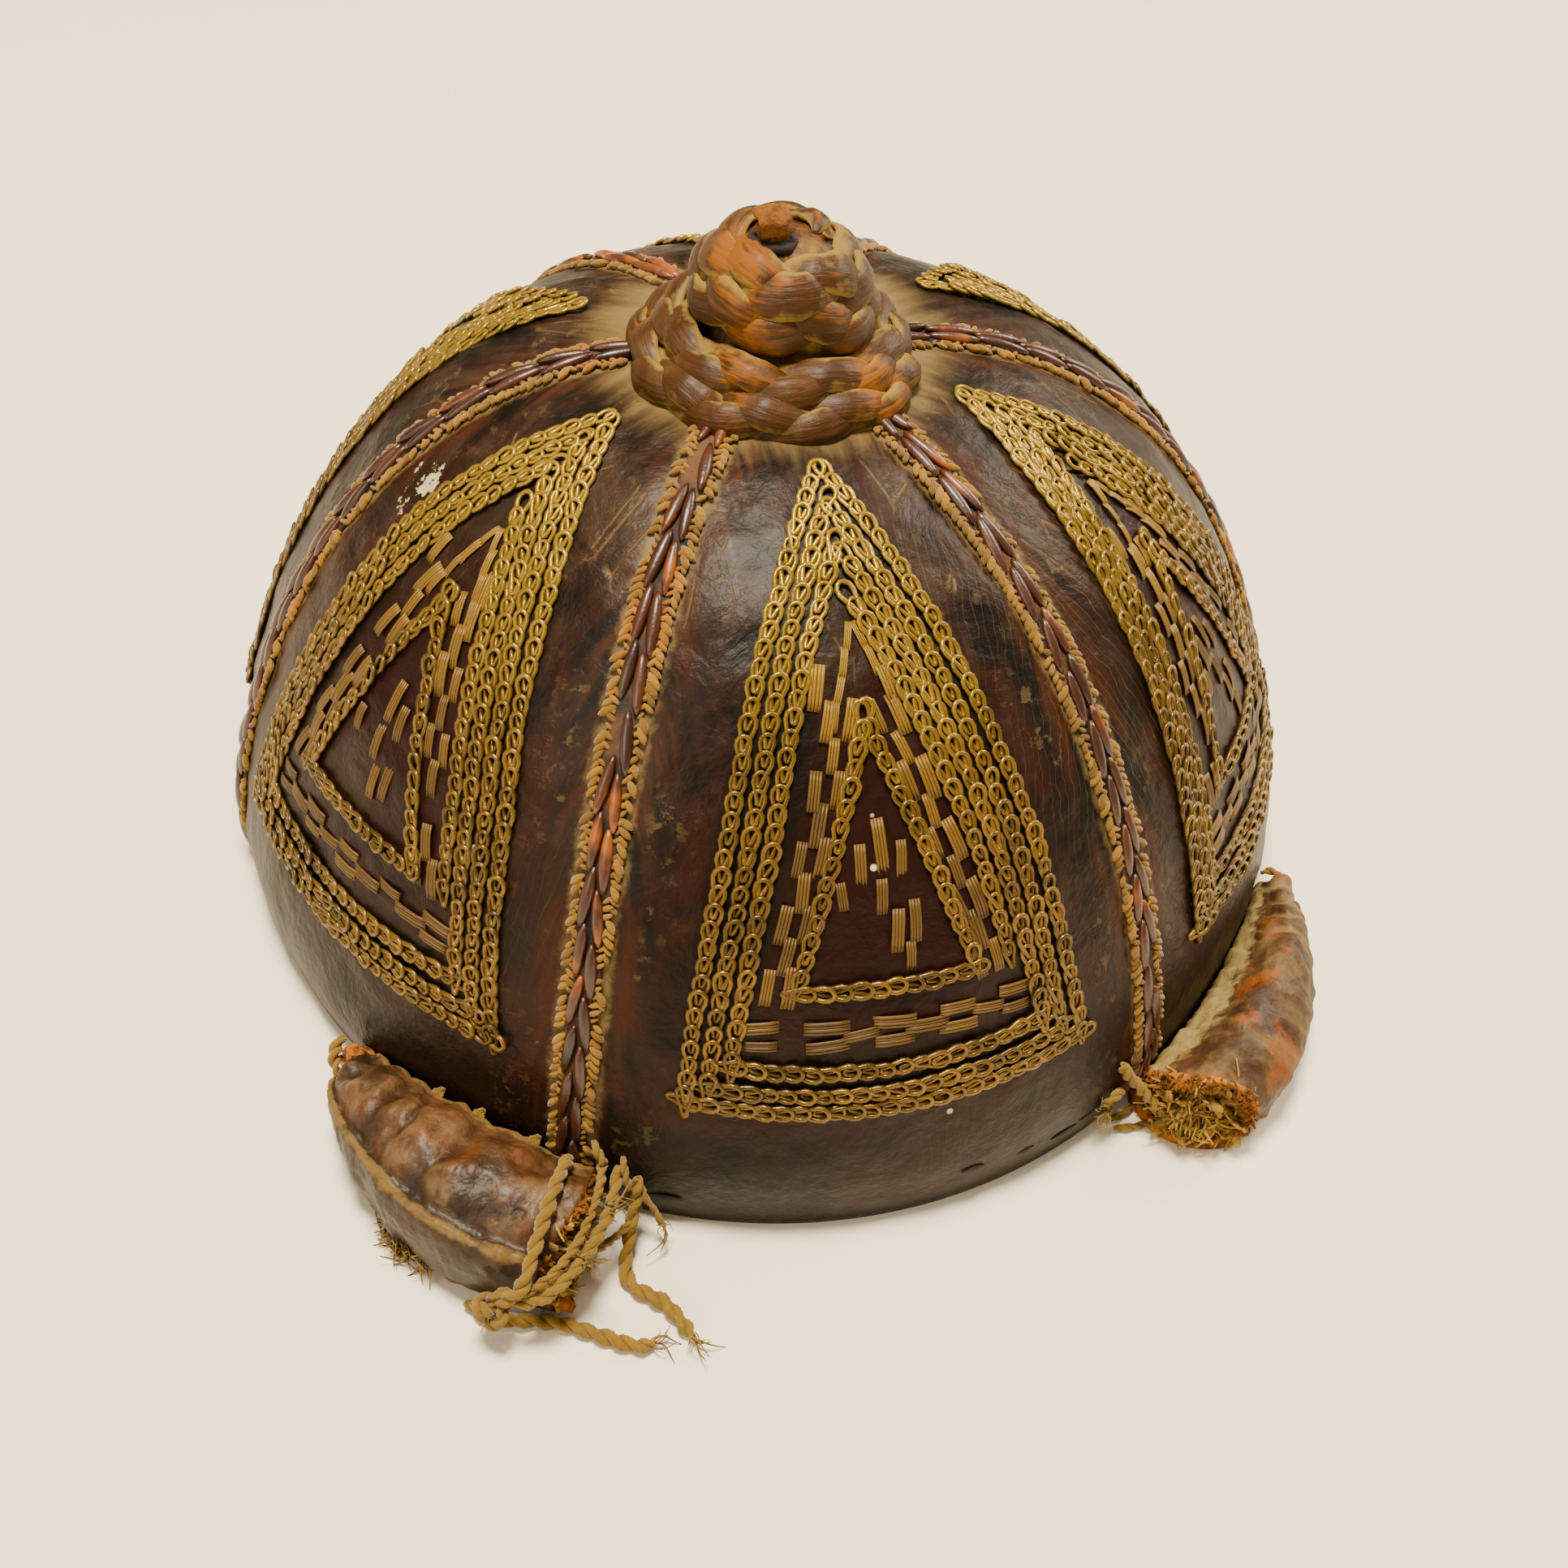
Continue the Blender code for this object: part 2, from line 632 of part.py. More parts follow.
def stuffing(side):
    stations = roll_stations(side)
    inset = POUCH_WALL + STUFFING_GAP
    rings = [roll_ring(side, inside, inset, fade) for _, inside, fade in stations[:-3]]
    # The filling swells out of the cut end in one lumpy step
    middle = sum(rings[0], Vector()) / len(rings[0])
    ahead = math.copysign(STUFFING_OUT[side] / CROWN_RADIUS, -stations[0][0])
    cosine, sine = math.cos(ahead), math.sin(ahead)
    lumps = []
    for j, p in enumerate(rings[0]):
        q = middle + (p - middle) * (0.80 + 0.08 * (j % 3 - 1))
        lumps.append(Vector((q.x * cosine - q.y * sine, q.x * sine + q.y * cosine, q.z)))
    return loft("stuffing_" + side, [lumps] + rings)


# Yarn

def tube(name, points, radii, sides=YARN_SIDES):
    rings = []
    count = len(points)
    side = None
    for i, point in enumerate(points):
        ahead = (points[min(i + 1, count - 1)] - points[max(i - 1, 0)]).normalized()
        if side is None:
            side = ahead.cross(Vector((0.2, 0.1, 1))).normalized()
        # Each ring carries the last one's direction on, so the tube never twists
        side = (side - ahead * side.dot(ahead)).normalized()
        up = side.cross(ahead)
        ring = []
        for j in range(sides):
            angle = j / sides * 2 * math.pi
            ring.append(point + (side * math.cos(angle) + up * math.sin(angle)) * radii[i])
        rings.append(ring)
    return loft(name, rings)


def smooth(points, radii, steps=3):
    """Catmull-Rom points between those of a short route."""
    out, wide = [], []
    last = len(points) - 1
    for i in range(last):
        a, b, c, d = points[max(i - 1, 0)], points[i], points[i + 1], points[min(i + 2, last)]
        for k in range(steps):
            t = k / steps
            p = b * 2 + (c - a) * t + (a * 2 - b * 5 + c * 4 - d) * t**2 + (b * 3 - a - c * 3 + d) * t**3
            out.append(p * 0.5)
            wide.append(radii[i] * (1 - t) + radii[i + 1] * t)
    return out + [points[-1]], wide + [radii[-1]]


def tie(name, table):
    points = [rim_point(math.radians(row["azimuth"]), row["out"], row["up"]) for row in table]
    points, radii = smooth(points, column(table, "radius"))
    return tube(name, points, radii)


def cord(name, route):
    points, radii = smooth([Vector(p) for p in route], [CORD_RADIUS] * len(route))
    radii[-1] = CORD_RADIUS * 0.8
    return tube(name, points, radii)


for old in list(bpy.data.objects):
    bpy.data.objects.remove(old, do_unlink=True)

for number in range(GORES):
    gore(number)
for line in WELTS:
    welt(line)
rope()
bulb()
stub()
for which in ("left", "right"):
    pouch(which)
    stuffing(which)
tie("tie_band", TIE_BAND)
tie("tie_lacing", TIE_LACING)
cord("tie_cord_long", CORD_LONG)
cord("tie_cord_short", CORD_SHORT)
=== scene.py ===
# %% [markdown]
# # An old leather cap, dressed over its solid model
# The cap is a dome of six leather gores with laced seams, a plaited knot on top and a stuffed roll
# on each side of the front. The solid model gives every size. This lesson lays the visible skin,
# thread and wear over it, and then hands each piece to the part's single body.

# %% Load the solid model
import json
import math

import bmesh
import bpy
import numpy as np
from mathutils import Matrix, Vector

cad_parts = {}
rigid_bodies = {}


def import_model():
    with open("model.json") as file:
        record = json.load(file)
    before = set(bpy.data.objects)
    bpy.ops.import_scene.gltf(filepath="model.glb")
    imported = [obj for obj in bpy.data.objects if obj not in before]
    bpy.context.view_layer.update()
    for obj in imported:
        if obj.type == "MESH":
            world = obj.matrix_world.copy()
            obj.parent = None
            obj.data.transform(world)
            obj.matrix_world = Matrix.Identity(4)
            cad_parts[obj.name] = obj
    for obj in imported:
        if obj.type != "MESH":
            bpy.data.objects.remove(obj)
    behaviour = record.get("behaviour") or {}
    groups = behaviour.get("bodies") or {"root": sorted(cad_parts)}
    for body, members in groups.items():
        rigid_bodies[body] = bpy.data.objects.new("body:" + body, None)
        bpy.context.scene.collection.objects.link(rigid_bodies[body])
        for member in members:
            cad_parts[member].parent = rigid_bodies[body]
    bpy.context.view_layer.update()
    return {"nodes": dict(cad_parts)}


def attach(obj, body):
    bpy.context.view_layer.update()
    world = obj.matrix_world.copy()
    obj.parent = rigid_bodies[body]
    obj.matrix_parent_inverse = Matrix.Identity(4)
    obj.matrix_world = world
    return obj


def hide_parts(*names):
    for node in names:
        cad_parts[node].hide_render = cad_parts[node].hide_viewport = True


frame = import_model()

MM = 0.001
print("solids:", ", ".join(sorted(frame["nodes"])))

# %% [markdown]
# ## Camera
# A camera can be placed by eye, or solved from the shape of the object in the photograph. Here the
# rim, the seams and the knot fix it: about 0.4 m away, 44 degrees above the table, and turned a
# little on its own axis. Its matrix is built from those few numbers, so nothing needs a target.

# %% Camera at the photograph's angle
def placed(name, data):
    """A new object in the scene's collection, at the origin."""
    made = bpy.data.objects.new(name, data)
    bpy.context.scene.collection.objects.link(made)
    return made


CAMERA_AT = Vector((-74.57, -281.95, 283.44)) * MM
CAMERA_BACK = Vector((-0.19273, -0.69598, 0.69171)).normalized()
CAMERA_AZIMUTH = math.radians(-15.478)
CAMERA_ROLL = math.radians(5.14)
CAMERA_LENS = 46.58

level = Vector((math.cos(CAMERA_AZIMUTH), math.sin(CAMERA_AZIMUTH), 0))
upright = CAMERA_BACK.cross(level)
rightward = level * math.cos(CAMERA_ROLL) + upright * math.sin(CAMERA_ROLL)
camera_up = CAMERA_BACK.cross(rightward)
camera = placed("camera", bpy.data.cameras.new("camera"))
turn = Matrix((rightward, camera_up, CAMERA_BACK)).transposed().to_4x4()
camera.matrix_world = Matrix.Translation(CAMERA_AT) @ turn
camera.data.sensor_width = 36
camera.data.lens = CAMERA_LENS
camera.data.clip_start = 0.01
bpy.context.scene.camera = camera
print("camera is", round(CAMERA_AT.length, 3), "m from the middle of the rim")

# %% [markdown]
# ## Writing node trees as sums
# Node trees can be wired by hand, one link at a time, which hides the idea behind the plumbing.
# Two small classes make them readable. A Link is one output socket, and Python's operators on it
# add the Math nodes. A Graph is a node tree with one method that adds any other node.

# %% Links with operators, and a tree that makes nodes
class Link:
    """An output socket that takes part in sums."""

    def __init__(self, graph, socket):
        self.graph = graph
        self.socket = socket

    def math(self, operation, *others, clamp=False):
        values = dict(enumerate((self,) + others))
        return self.graph.node("ShaderNodeMath", dict(operation=operation, use_clamp=clamp), values)

    def __add__(self, other):
        return self.math("ADD", other)

    __radd__ = __add__

    def __sub__(self, other):
        return self.math("SUBTRACT", other)

    def __rsub__(self, other):
        return self.math("MULTIPLY_ADD", -1.0, other)

    def __mul__(self, other):
        return self.math("MULTIPLY", other)

    __rmul__ = __mul__

    def __neg__(self):
        return self.math("MULTIPLY", -1.0)

    def clamp(self):
        return self.math("ADD", 0.0, clamp=True)

    def most(self, other):
        return self.math("MAXIMUM", other)

    def step(self, low, high):
        """0 below low, 1 above high, with a soft ramp between them."""
        settings = dict(interpolation_type="SMOOTHSTEP")
        return self.graph.node("ShaderNodeMapRange", settings, {0: self, 1: low, 2: high})


class Graph:
    """A node tree and the one method that adds nodes to it."""

    def __init__(self, tree):
        self.tree = tree

    def node(self, kind, settings=None, sockets=None, out=0):
        made = self.tree.nodes.new(kind)
        for key, value in (settings or {}).items():
            setattr(made, key, value)
        for key, value in (sockets or {}).items():
            if isinstance(value, Link):
                self.tree.links.new(value.socket, made.inputs[key])
            else:
                made.inputs[key].default_value = value
        return Link(self, made.outputs[out]) if len(made.outputs) else made


# %% [markdown]
# ## Finishes
# Every finish starts from the same few bricks: noise on the object's own metres, a bump, a mix of
# two colours by a mask, and values stored on the mesh, such as the distance to the nearest seam.
# Reading stored values keeps the wear where the maker's hand put it, whatever the shape does.

# %% Colours and the bricks of a finish
def paint(red, green, blue):
    """A colour read off a screen, 0 to 255, as the linear values that a shader takes."""
    linear = []
    for part in (red, green, blue):
        share = part / 255
        linear.append(share / 12.92 if share <= 0.04045 else ((share + 0.055) / 1.055) ** 2.4)
    return (*linear, 1.0)


class Finish(Graph):
    """A material under construction."""

    def __init__(self, name):
        self.material = bpy.data.materials.new(name)
        self.material.use_nodes = True
        super().__init__(self.material.node_tree)
        self.tree.nodes.clear()
        self.place = self.node("ShaderNodeTexCoord", out=3)

    def stored(self, name):
        """A value that the mesh carries at each point."""
        return self.node("ShaderNodeAttribute", dict(attribute_name=name), out=2)

    def stretched(self, name, scale):
        """A vector attribute of the mesh, stretched by a scale for each axis."""
        vector = self.node("ShaderNodeAttribute", dict(attribute_name=name), out=1)
        return self.node("ShaderNodeMapping", {}, {0: vector, 3: scale})

    def height(self):
        """How high a point is above the table, in metres."""
        return self.node("ShaderNodeSeparateXYZ", {}, {0: self.place}, out=2)

    def grain(self, scale, detail=4.0, rough=0.6, twist=0.0, at=None):
        sockets = {0: at or self.place, 2: scale, 3: detail, 4: rough, 8: twist}
        return self.node("ShaderNodeTexNoise", {}, sockets)

    def cells(self, scale, feature="F1", at=None):
        return self.node("ShaderNodeTexVoronoi", dict(feature=feature), {0: at or self.place, 2: scale})

    def blend(self, first, second, mask):
        settings = dict(data_type="RGBA", blend_type="MIX", clamp_factor=True)
        return self.node("ShaderNodeMix", settings, {0: mask, 6: first, 7: second}, out=2)

    def bump(self, height, depth, strength=1.0, under=None):
        sockets = {0: strength, 1: depth, 3: height}
        if under is not None:
            sockets[4] = under
        return self.node("ShaderNodeBump", {}, sockets)

    def surface(self, colour, rough, normal=None, metal=0.0, coat=0.0, sheen=0.0, specular=0.5):
        sockets = {"Base Color": colour, "Roughness": rough, "Metallic": metal, "Coat Weight": coat}
        sockets.update({"Coat Roughness": 0.25, "Sheen Weight": sheen, "Specular IOR Level": specular})
        if normal is not None:
            sockets["Normal"] = normal
        shader = self.node("ShaderNodeBsdfPrincipled", {}, sockets)
        self.node("ShaderNodeOutputMaterial", {}, {0: shader})
        return self.material


# %% [markdown]
# ## Table, light and surroundings
# The cap stands on a pale cloth under a soft lamp. A large plane with a very low weave is enough
# for the cloth. Broad area lamps give the soft shadows: one big lamp overhead, a weaker one for
# each side.

# %% The pale cloth
def table_cloth_finish():
    cloth = Finish("pale_table_cloth")
    soft = cloth.grain(9.0, 3.0)
    weave = cloth.grain(1400.0, 1.0)
    colour = cloth.blend(paint(248, 235, 210), paint(251, 241, 222), soft)
    return cloth.surface(colour, 0.9, cloth.bump(weave, 0.0002, 0.3), specular=0.2)


bpy.ops.mesh.primitive_plane_add(size=20)
table = bpy.context.object
table.name = "table_cloth"
table.data.materials.append(table_cloth_finish())


# %% Soft lamps
def lamp(name, place, size, power, colour):
    data = bpy.data.lights.new(name, "AREA")
    data.shape = "DISK"
    data.size = size
    data.energy = power
    data.color = colour
    made = placed(name, data)
    made.location = place
    away = Vector(place) - Vector(LAMPS_FACE)
    made.rotation_euler = away.to_track_quat("Z", "Y").to_euler()


LAMPS_FACE = (0, 0, 0.05)
# name, place, size and power in watts, colour
lamp("lamp_above", (-0.10, -0.05, 1.15), 0.30, 33.0, (1.0, 0.90, 0.70))
lamp("lamp_right", (1.1, 0.5, 0.8), 0.6, 20.0, (1.0, 0.92, 0.76))
lamp("lamp_left", (-1.0, -0.7, 0.7), 0.8, 9.0, (1.0, 0.89, 0.68))
world = bpy.data.worlds.new("soft_room")
bpy.context.scene.world = world
world.use_nodes = True
air = world.node_tree.nodes["Background"]
air.inputs[0].default_value = (1.0, 0.89, 0.70, 1)
air.inputs[1].default_value = 0.36


# %% [markdown]
# ## Making meshes from arrays
# Most pieces are rings of points joined into a skin. One function makes the mesh, one joins rings,
# and one stores the values that the finishes read. Every piece is then given to the body "root",
# the only one that this cap has.

# %% Mesh helpers
def array_mesh(name, points, edges, faces, values):
    """A mesh that stores a number or a vector for each point under each key of values."""
    mesh = bpy.data.meshes.new(name)
    mesh.from_pydata(np.asarray(points, float).tolist(), edges, [tuple(map(int, f)) for f in faces])
    for key, numbers in values.items():
        numbers = np.asarray(numbers, float)
        kind, field = ("FLOAT", "value") if numbers.ndim == 1 else ("FLOAT_VECTOR", "vector")
        mesh.attributes.new(key, kind, "POINT").data.foreach_set(field, numbers.ravel())
    return mesh


def new_piece(name, points, faces, finish, values=None):
    """A mesh object at the origin, with its finish, its body and its stored values."""
    mesh = array_mesh(name, points, [], faces, values or {})
    mesh.shade_smooth()
    mesh.materials.append(finish)
    return hand_over(placed(name, mesh))


def hand_over(made):
    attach(made, "root")
    return made


def ring_faces(count, sides, caps=True):
    """Faces of a tube of rings, each ring of the same number of points."""
    faces = []
    for first in range(0, (count - 1) * sides, sides):
        for j in range(sides):
            a, b = first + j, first + (j + 1) % sides
            faces.append((a, b, b + sides, a + sides))
    if caps:
        faces.append(tuple(range(sides))[::-1])
        faces.append(tuple(range((count - 1) * sides, count * sides)))
    return faces


def grid_faces(rows, columns, start=0, flip=False):
    faces = []
    for r in range(rows - 1):
        for c in range(columns - 1):
            a = start + r * columns + c
            face = (a, a + 1, a + 1 + columns, a + columns)
            faces.append(face[::-1] if flip else face)
    return faces


def around(sides):
    """Even angles round a section."""
    return np.arange(sides) / sides * 2 * np.pi


def swept(centre, side, up, across, rise):
    """Rings along a line of centres, from each point's distances to the side and up."""
    return centre[:, None] + side[:, None] * across[..., None] + up[:, None] * rise[..., None]


def joined(parts):
    """Several tubes as one. A part holds points, faces and then the values of its points."""
    starts = np.cumsum([0] + [len(part[0]) for part in parts])
    faces = [tuple(start + i for i in face) for start, part in zip(starts, parts) for face in part[1]]
    points, _, *values = zip(*parts)
    return np.concatenate(points), faces, *map(np.concatenate, values)


def above_table(points, least):
    """The same points, none of them lower than least."""
    points[..., 2] = np.maximum(points[..., 2], least)
    return points


def unit(vectors):
    return vectors / np.maximum(np.linalg.norm(vectors, axis=-1, keepdims=True), 1e-12)


def spline(points, steps):
    """Catmull-Rom points between those of a short route."""
    route = np.asarray(points, float)
    route = np.vstack([2 * route[:1] - route[1:2], route, 2 * route[-1:] - route[-2:-1]])
    out = []
    for i in range(1, len(route) - 2):
        a, b, c, d = route[i - 1 : i + 3]
        for t in np.arange(steps) / steps:
            bend = (a * 2 - b * 5 + c * 4 - d) * t**2 + (b * 3 - a - c * 3 + d) * t**3
            out.append((b * 2 + (c - a) * t + bend) / 2)
    return np.array(out + [route[-2]])


def lengths(path):
    return np.concatenate([[0], np.cumsum(np.linalg.norm(np.diff(path, axis=0), axis=1))])


def even(path, gap):
    """The same path with points at an even distance."""
    along = lengths(path)
    marks = np.linspace(0, along[-1], max(int(round(along[-1] / gap)), 2) + 1)
    return np.stack([np.interp(marks, along, path[:, k]) for k in range(path.shape[1])], axis=1)


def carried_frames(path):
    """A tangent and two sides at each point, carried along so that nothing twists."""
    ahead = unit(np.gradient(path, axis=0))
    side = np.cross(ahead[0], (0.2, 0.1, 1.0))
    sides = []
    for direction in ahead:
        side = side - direction * side.dot(direction)
        side = side / np.linalg.norm(side)
        sides.append(side)
    sides = np.array(sides)
    return ahead, sides, np.cross(ahead, sides)


# %% [markdown]
# ## Loose yarn
# Two ends of a two-ply yarn lie beside the left roll. A curve with a round section would be
# quick, but a twisted yarn is read by its ridges, so each ply is a tube wound round the route.
# The routes are short lists chosen on the photograph, the same ones as in the solid model.

# %% Yarn finish
def yarn_finish(name, light, dark):
    yarn = Finish(name)
    fibre = yarn.grain(900.0, 3.0)
    shade = yarn.grain(160.0, 3.0)
    colour = yarn.blend(dark, light, (shade * 0.7 + fibre * 0.6 - 0.15).clamp())
    # Painted shade: the inner side of each ply, where it meets the other, is painted darker
    colour = yarn.blend(colour, paint(50, 33, 5), 0.55 * (1 - yarn.stored("crest")).step(0.45, 1.0))
    return yarn.surface(colour, 0.85, yarn.bump(fibre, 0.0004, 0.7), sheen=0.25, specular=0.25)


YARN = yarn_finish("mustard_wool_yarn", paint(148, 112, 14), paint(82, 58, 6))


# %% Plies wound round a route
PLIES, PLY_SIDES = 2, 7
PLY_GAP = 0.45 * MM
PLY_OFF, PLY_THICK = 0.36, 0.68
ROUTE_STEPS = 8
TAPER = 0.5


def plied(route, radius, pitch=6.5 * MM, seed=1):
    """Points, faces and crest values of a twisted yarn along a route."""
    path = even(spline(route, ROUTE_STEPS), PLY_GAP)
    ahead, side, up = carried_frames(path)
    along = lengths(path)
    rng = np.random.default_rng(seed)
    marks = np.arange(0, along[-1] + 4 * MM, 1.7 * MM)
    wobble = np.interp(along, marks, rng.uniform(0.82, 1.12, len(marks)))
    ends = np.clip(np.minimum(along, along[-1] - along) / (3 * radius) + TAPER, 0, 1)
    theta = around(PLY_SIDES)
    parts = []
    for k in range(PLIES):
        angle = 2 * np.pi * (along / pitch + k / PLIES)
        off = radius * PLY_OFF * ends * wobble
        thick = radius * PLY_THICK * ends * wobble
        out = side * np.cos(angle)[:, None] + up * np.sin(angle)[:, None]
        centre = path + out * off[:, None]
        across, rise = np.outer(thick, np.cos(theta)), np.outer(thick, np.sin(theta))
        ring = swept(centre, out, np.cross(ahead, out), across, rise)
        crest = np.tile(0.5 + 0.5 * np.cos(theta), len(path))
        parts.append((ring.reshape(-1, 3), ring_faces(len(path), PLY_SIDES), crest))
    return joined(parts)


CORD_RADIUS = 1.3 * MM
YARN_LOWEST = 0.05 * MM
CORD_LONG = [
    (-70.0, -106.0, 1.5),
    (-66.0, -109.6, 1.5),
    (-62.3, -110.6, 1.5),
    (-58.6, -111.4, 1.5),
    (-54.3, -112.9, 1.5),
    (-49.2, -115.8, 1.5),
    (-45.0, -118.0, 1.5),
    (-41.9, -118.4, 1.5),
]
CORD_SHORT = [
    (-41.1, -95.1, 13.0),
    (-41.5, -96.2, 10.2),
    (-42.4, -98.3, 7.4),
    (-43.2, -100.4, 4.6),
    (-44.0, -102.6, 2.8),
    (-44.4, -105.2, 1.9),
    (-43.5, -107.8, 1.7),
    (-41.4, -109.6, 1.7),
    (-39.3, -111.4, 1.7),
    (-37.8, -113.8, 1.7),
    (-36.6, -116.4, 1.7),
    (-35.9, -118.4, 1.7),
]


# %% The two loose ends
def yarn_piece(name, route, radius, seed=1, pitch=6.5 * MM):
    points, faces, crest = plied(route, radius, pitch, seed)
    return new_piece(name, above_table(points, YARN_LOWEST), faces, YARN, dict(crest=crest))


def loose_yarn(name, route, node, seed):
    route = np.array(route) * MM
    piece = yarn_piece(name, route, CORD_RADIUS, seed)
    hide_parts(node)


loose_yarn("yarn_end_long", CORD_LONG, "tie_cord_long", 3)
loose_yarn("yarn_end_short", CORD_SHORT, "tie_cord_short", 5)

# %% [markdown]
# ## The dome's own shape
# The six gores follow one profile: a low bulge above the rim, then a shoulder and a flat top. The
# plan isn't round, so the radius is scaled a little with the azimuth. The same rule as in the
# solid model is written here for whole arrays, so that every stitch can be laid on the leather.

# %% The outer surface of the crown
CROWN_RADIUS = 100 * MM
RIM_SHARE = 0.9825
BULGE_HEIGHT = 12.2 * MM
CROWN_HEIGHT = 106.3 * MM
SHOULDER_POWER = 0.7174
RISE_POWER = 1.3871
OVAL_SHARE, OVAL_AT = 0.0222, math.radians(-54.5)
THREE_SHARE, THREE_AT = 0.0240, math.radians(-4.2)
LEAN = np.array([-5.1, 1.4]) * MM
TOP_DIMPLE, DIMPLE_SPREAD = 3.0 * MM, 24 * MM
GORE_ANGLE = math.pi / 3
SEAM_DIP, SEAM_DIP_SPREAD = 0.6 * MM, 5 * MM
LEATHER = 2.6 * MM
DENTS = [
    # azimuth (degrees), share up the gore, depth, spread
    (-52, 0.62, 1.1 * MM, 20 * MM),
    (38, 0.70, 0.9 * MM, 18 * MM),
    (-128, 0.40, 1.4 * MM, 26 * MM),
    (80, 0.30, 1.5 * MM, 28 * MM),
    (172, 0.55, 1.0 * MM, 22 * MM),
    (-8, 0.80, -0.6 * MM, 12 * MM),
]
low = np.linspace(0, 1, 400, endpoint=False)
high = np.linspace(0, math.pi / 2, 1201)
bulge = 1 - (1 - RIM_SHARE) * (1 - low) ** 2
shoulder = np.maximum(np.cos(high), 0) ** SHOULDER_POWER
above_bulge = BULGE_HEIGHT + (CROWN_HEIGHT - BULGE_HEIGHT) * np.sin(high) ** RISE_POWER
RADII = CROWN_RADIUS * np.concatenate([bulge, shoulder])
HEIGHTS = np.concatenate([BULGE_HEIGHT * low, above_bulge])
ARC = lengths(np.stack([RADII, HEIGHTS], axis=1))
GORE_LENGTH = float(ARC[-1])
print("each gore is", round(GORE_LENGTH * 1000), "mm from rim to top")


def radius_at(rise):
    return np.interp(rise, ARC, RADII)


def rise_at_height(height):
    return np.interp(height, HEIGHTS, ARC)


def rise_at_radius(radius):
    upper = ARC > GORE_LENGTH / 2
    return np.interp(-np.asarray(radius), -RADII[upper], ARC[upper])


def oval(azimuth):
    return 1 + OVAL_SHARE * np.cos(2 * (azimuth - OVAL_AT)) + THREE_SHARE * np.cos(3 * (azimuth - THREE_AT))


def outward(azimuth):
    azimuth = np.asarray(azimuth, float)
    return np.stack([np.sin(azimuth), -np.cos(azimuth), np.zeros_like(azimuth)], axis=-1)


def smooth_crown(azimuth, rise):
    radius, height = radius_at(rise), np.interp(rise, ARC, HEIGHTS)
    lean = (height / CROWN_HEIGHT) ** 2
    point = outward(azimuth) * (radius * oval(azimuth))[..., None]
    point[..., 0] += LEAN[0] * lean
    point[..., 1] += LEAN[1] * lean
    point[..., 2] = height - TOP_DIMPLE * np.exp(-((radius / DIMPLE_SPREAD) ** 2))
    return point


def crown_normal(azimuth, rise):
    step = 0.6 * MM
    up = smooth_crown(azimuth, np.minimum(rise + step, GORE_LENGTH * 0.999))
    up = up - smooth_crown(azimuth, np.maximum(rise - step, 0))
    across = smooth_crown(azimuth + 0.004, rise) - smooth_crown(azimuth - 0.004, rise)
    return unit(np.cross(across, up))


def seam_distance(azimuth, rise):
    turn = (azimuth - GORE_ANGLE / 2) / GORE_ANGLE
    return np.abs(turn - np.round(turn)) * GORE_ANGLE * radius_at(rise)


def crown(azimuth, rise, lift=0.0):
    """Points on the dented outer surface, raised along the normal by lift."""
    azimuth, rise = np.broadcast_arrays(np.asarray(azimuth, float), np.asarray(rise, float))
    base = smooth_crown(azimuth, rise)
    down = SEAM_DIP * np.exp(-((seam_distance(azimuth, rise) / SEAM_DIP_SPREAD) ** 2))
    for where, share, depth, spread in DENTS:
        centre = smooth_crown(np.radians([float(where)]), np.array([share * GORE_LENGTH]))[0]
        down = down + depth * np.exp(-((np.linalg.norm(base - centre, axis=-1) / spread) ** 2))
    return base + crown_normal(azimuth, rise) * (lift - down)[..., None]


# %% [markdown]
# ## Where the embroidery lies
# Each gore carries a tall triangle. Its outline is a short table of half widths against height,
# read off the front gore. Rows of stitches are this outline moved inwards, so they stay parallel
# and meet in chevrons at the top. A place on a gore is a pair: distance across, distance up.

# %% Triangles of the six gores
OUTLINE = [
    # height above the table, half width to the left, half width to the right, in mm
    (28.0, 35.0, 35.5),
    (41.0, 33.0, 32.2),
    (53.0, 30.0, 29.4),
    (64.0, 26.6, 26.4),
    (73.5, 23.2, 22.8),
    (83.0, 19.4, 18.6),
    (90.0, 15.6, 14.8),
    (96.0, 10.8, 10.4),
    (100.0, 6.8, 6.4),
    (103.4, 1.4, 1.4),
]
GORES = [
    # name, azimuth of its middle (degrees), width of its triangle against the front one
    ("front", 0, 1.0),
    ("front_right", 60, 1.03),
    ("back_right", 120, 0.97),
    ("back", 180, 1.0),
    ("back_left", -120, 1.0),
    ("front_left", -60, 1.08),
]
outline_rise = rise_at_height(np.array([row[0] for row in OUTLINE]) * MM)
outline_left = np.array([row[1] for row in OUTLINE]) * MM
outline_right = np.array([row[2] for row in OUTLINE]) * MM
BASE_RISE = float(outline_rise[0])
TIP_RISE = float(outline_rise[-1])


def half_width(rise, side):
    return np.interp(rise, outline_rise, outline_left if side < 0 else outline_right)


def on_gore(azimuth, across, rise, lift=0.0):
    """The point of a gore at a distance across and up."""
    angle = math.radians(azimuth) + np.asarray(across) / radius_at(rise)
    return crown(angle, rise, lift)


def inside_triangle(across, rise, wide):
    """How far a place is inside the triangle's edge, in metres, negative outside."""
    left = half_width(rise, -1) * wide + across
    right = half_width(rise, 1) * wide - across
    sides = np.minimum(left, right) * 0.92
    return np.minimum(sides, np.minimum(rise - BASE_RISE, TIP_RISE - rise + 2 * MM))
